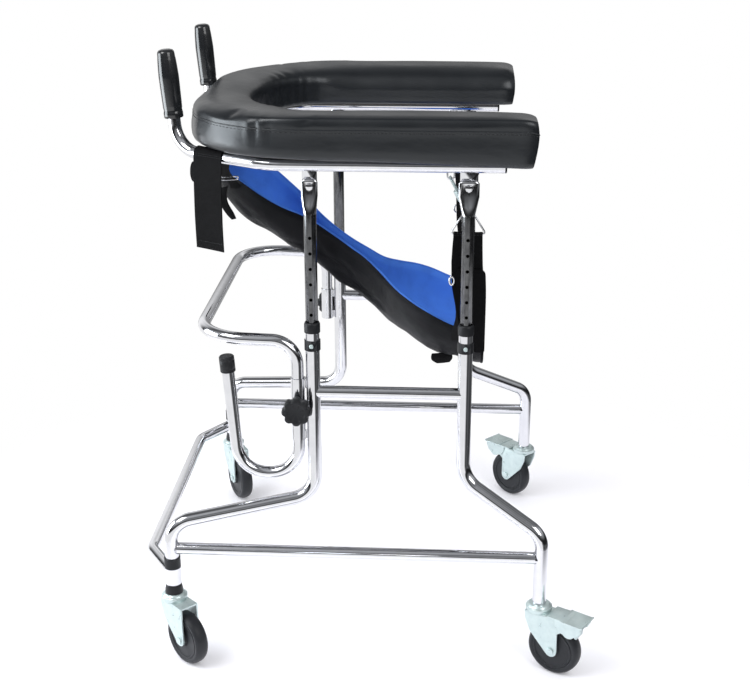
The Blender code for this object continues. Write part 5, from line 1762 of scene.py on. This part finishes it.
@dataclass
class Stage:
    """The pale floor, the soft studio light and the camera."""

    eye: Point = (2.46678, 0.1561, 1.41022)
    yaw: float = 3.6227
    pitch: float = 20.5946
    roll: float = -0.1805
    lens: float = 64.74
    floor_radius: float = 1.25
    floor_fade: tuple[float, float] = (0.66, 1.10)
    flags_radius: float = 5.0
    lamps: tuple[Lamp, ...] = (
        Lamp("key", (1.6, -1.9, 2.9), (0.0, 0.0, 0.5), 1.6, 44.0),
        Lamp("fill", (2.2, 1.9, 2.3), (0.0, 0.1, 0.6), 1.8, 30.0),
        Lamp("front", (0.3, -2.4, 0.85), (0.1, -0.2, 0.9), 1.5, 46.0, (0.90, 0.96, 1.0)),
    )

    def floor(self) -> None:
        """A pale round floor that fades out before its edge."""
        bm = bmesh.new()
        bmesh.ops.create_circle(bm, cap_ends=True, segments=96, radius=self.floor_radius)
        graph = Graph("pale_floor")
        graph.set(Roughness=0.9, Specular_IOR_Level=0.1)
        graph.set(Emission_Color=(1.0, 1.0, 1.0, 1.0), Emission_Strength=0.06)
        cloud = graph.even_noise(3.0, 4.0)
        graph.set(Base_Color=graph.colours(cloud, (0.90, 0.895, 0.945), (0.93, 0.925, 0.965)))
        length = graph.add("VectorMath", {0: graph.place["Object"]}, operation="LENGTH").outputs["Value"]
        clear = graph.add("BsdfTransparent").outputs["BSDF"]
        graph.mixed(graph.ramp(length, *self.floor_fade), graph.shader.outputs["BSDF"], clear)
        new_piece("floor", bm, graph.material)

    def world(self) -> None:
        """White where the camera or a shiny surface sees it; for soft light, bright above and at the sides."""
        world = bpy.data.worlds.new("studio")
        bpy.context.scene.world = world
        world.use_nodes = True
        nodes = Nodes(world.node_tree)
        place = nodes.add("TexCoord").outputs["Generated"]
        parts = nodes.add("SeparateXYZ", {"Vector": place}).outputs
        sides = nodes.ramp(nodes.math("MULTIPLY", parts["X"], parts["X"]), 0.22, 0.72, 0.05, 0.85)
        studio = nodes.most(sides, nodes.ramp(parts["Z"], 0.12, 0.62, 0.0, 0.95))
        path = nodes.add("LightPath").outputs
        seen = nodes.most(path["Is Camera Ray"], path["Is Transmission Ray"])
        strength = nodes.most(studio, nodes.most(seen, path["Is Glossy Ray"]))
        nodes.fill(nodes.tree.nodes["Background"], {"Strength": strength, "Color": (1.0, 1.0, 1.0, 1.0)})

    def flags(self) -> None:
        """The dark cloths and walls round the set, seen only in shiny surfaces."""
        bm = bmesh.new()
        bmesh.ops.create_uvsphere(bm, u_segments=48, v_segments=24, radius=self.flags_radius)
        graph = Graph("dark_cloth")
        graph.tree.nodes.remove(graph.shader)
        unit = graph.add("VectorMath", {0: graph.place["Object"]}, operation="NORMALIZE").outputs["Vector"]
        parts = graph.add("SeparateXYZ", {"Vector": unit}).outputs
        x, y, z = (parts[k] for k in "XYZ")
        behind = graph.most(graph.ramp(x, -0.72, -0.30), graph.ramp(z, 0.42, 0.80))
        wall = graph.math("MULTIPLY", graph.ramp(z, -0.04, 0.04), behind)
        beside = graph.most(graph.ramp(y, 0.25, 0.55), graph.ramp(x, -0.94, -0.82, 0.75, 0.0))
        low = graph.math("MULTIPLY", beside, graph.ramp(z, -0.62, -0.40))
        glow = graph.most(graph.ramp(z, 0.10, 0.55, 0.012, 0.30), graph.ramp(z, -0.20, -0.02, 0.13, 0.0))
        streaks = graph.add("TexNoise", {"Vector": unit, "Scale": 1.3, "Detail": 3.0}).outputs["Fac"]
        strength = graph.math("MULTIPLY", glow, graph.ramp(streaks, 0.35, 0.65, 0.35, 1.7))
        lit = graph.add("Emission", {"Color": (0.95, 0.97, 1.0, 1.0), "Strength": strength})
        clear = graph.add("BsdfTransparent")
        graph.mixed(graph.most(wall, low), clear.outputs["BSDF"], lit.outputs["Emission"])
        shell = new_piece("dark_flags", bm, graph.material)
        shell.visible_camera = shell.visible_diffuse = shell.visible_shadow = False
        shell.visible_transmission = shell.visible_volume_scatter = False

    def camera(self) -> None:
        """The camera, from its place and its three turns."""
        yaw, pitch, roll = (math.radians(a) for a in (self.yaw, self.pitch, self.roll))
        flat = Vector((-math.cos(yaw), -math.sin(yaw), 0.0))
        forward = flat * math.cos(pitch) - Vector((0.0, 0.0, math.sin(pitch)))
        level = Vector((-math.sin(yaw), math.cos(yaw), 0.0))
        rise = level.cross(forward)
        right = level * math.cos(roll) + rise * math.sin(roll)
        up = rise * math.cos(roll) - level * math.sin(roll)
        data = bpy.data.cameras.new("camera")
        data.lens = self.lens
        data.sensor_width = 36.0
        data.sensor_fit = "HORIZONTAL"
        data.clip_start = 0.05
        obj = bpy.data.objects.new("camera", data)
        turn = Matrix((right, up, -forward)).transposed().to_4x4()
        obj.matrix_world = Matrix.Translation(self.eye) @ turn
        bpy.context.scene.collection.objects.link(obj)
        bpy.context.scene.camera = obj

    def build(self) -> None:
        """Make the stage."""
        self.floor()
        self.world()
        self.flags()
        for lamp in self.lamps:
            lamp.hang()
        self.camera()
        bpy.context.scene.view_settings.view_transform = "Standard"
        log.info("stage ready")


def main() -> None:
    """Dress the walker and set the stage."""
    logging.basicConfig(level=logging.INFO, format="%(message)s")
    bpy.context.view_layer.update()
    Stage().build()
    looks = Finishes()
    HardParts(looks).dress()
    ArmPad(looks).build()
    SeatSling(looks).build()
    for side in Side:
        Straps(looks, side).build()
    Fittings(looks).build()


if __name__ == "__main__":
    main()
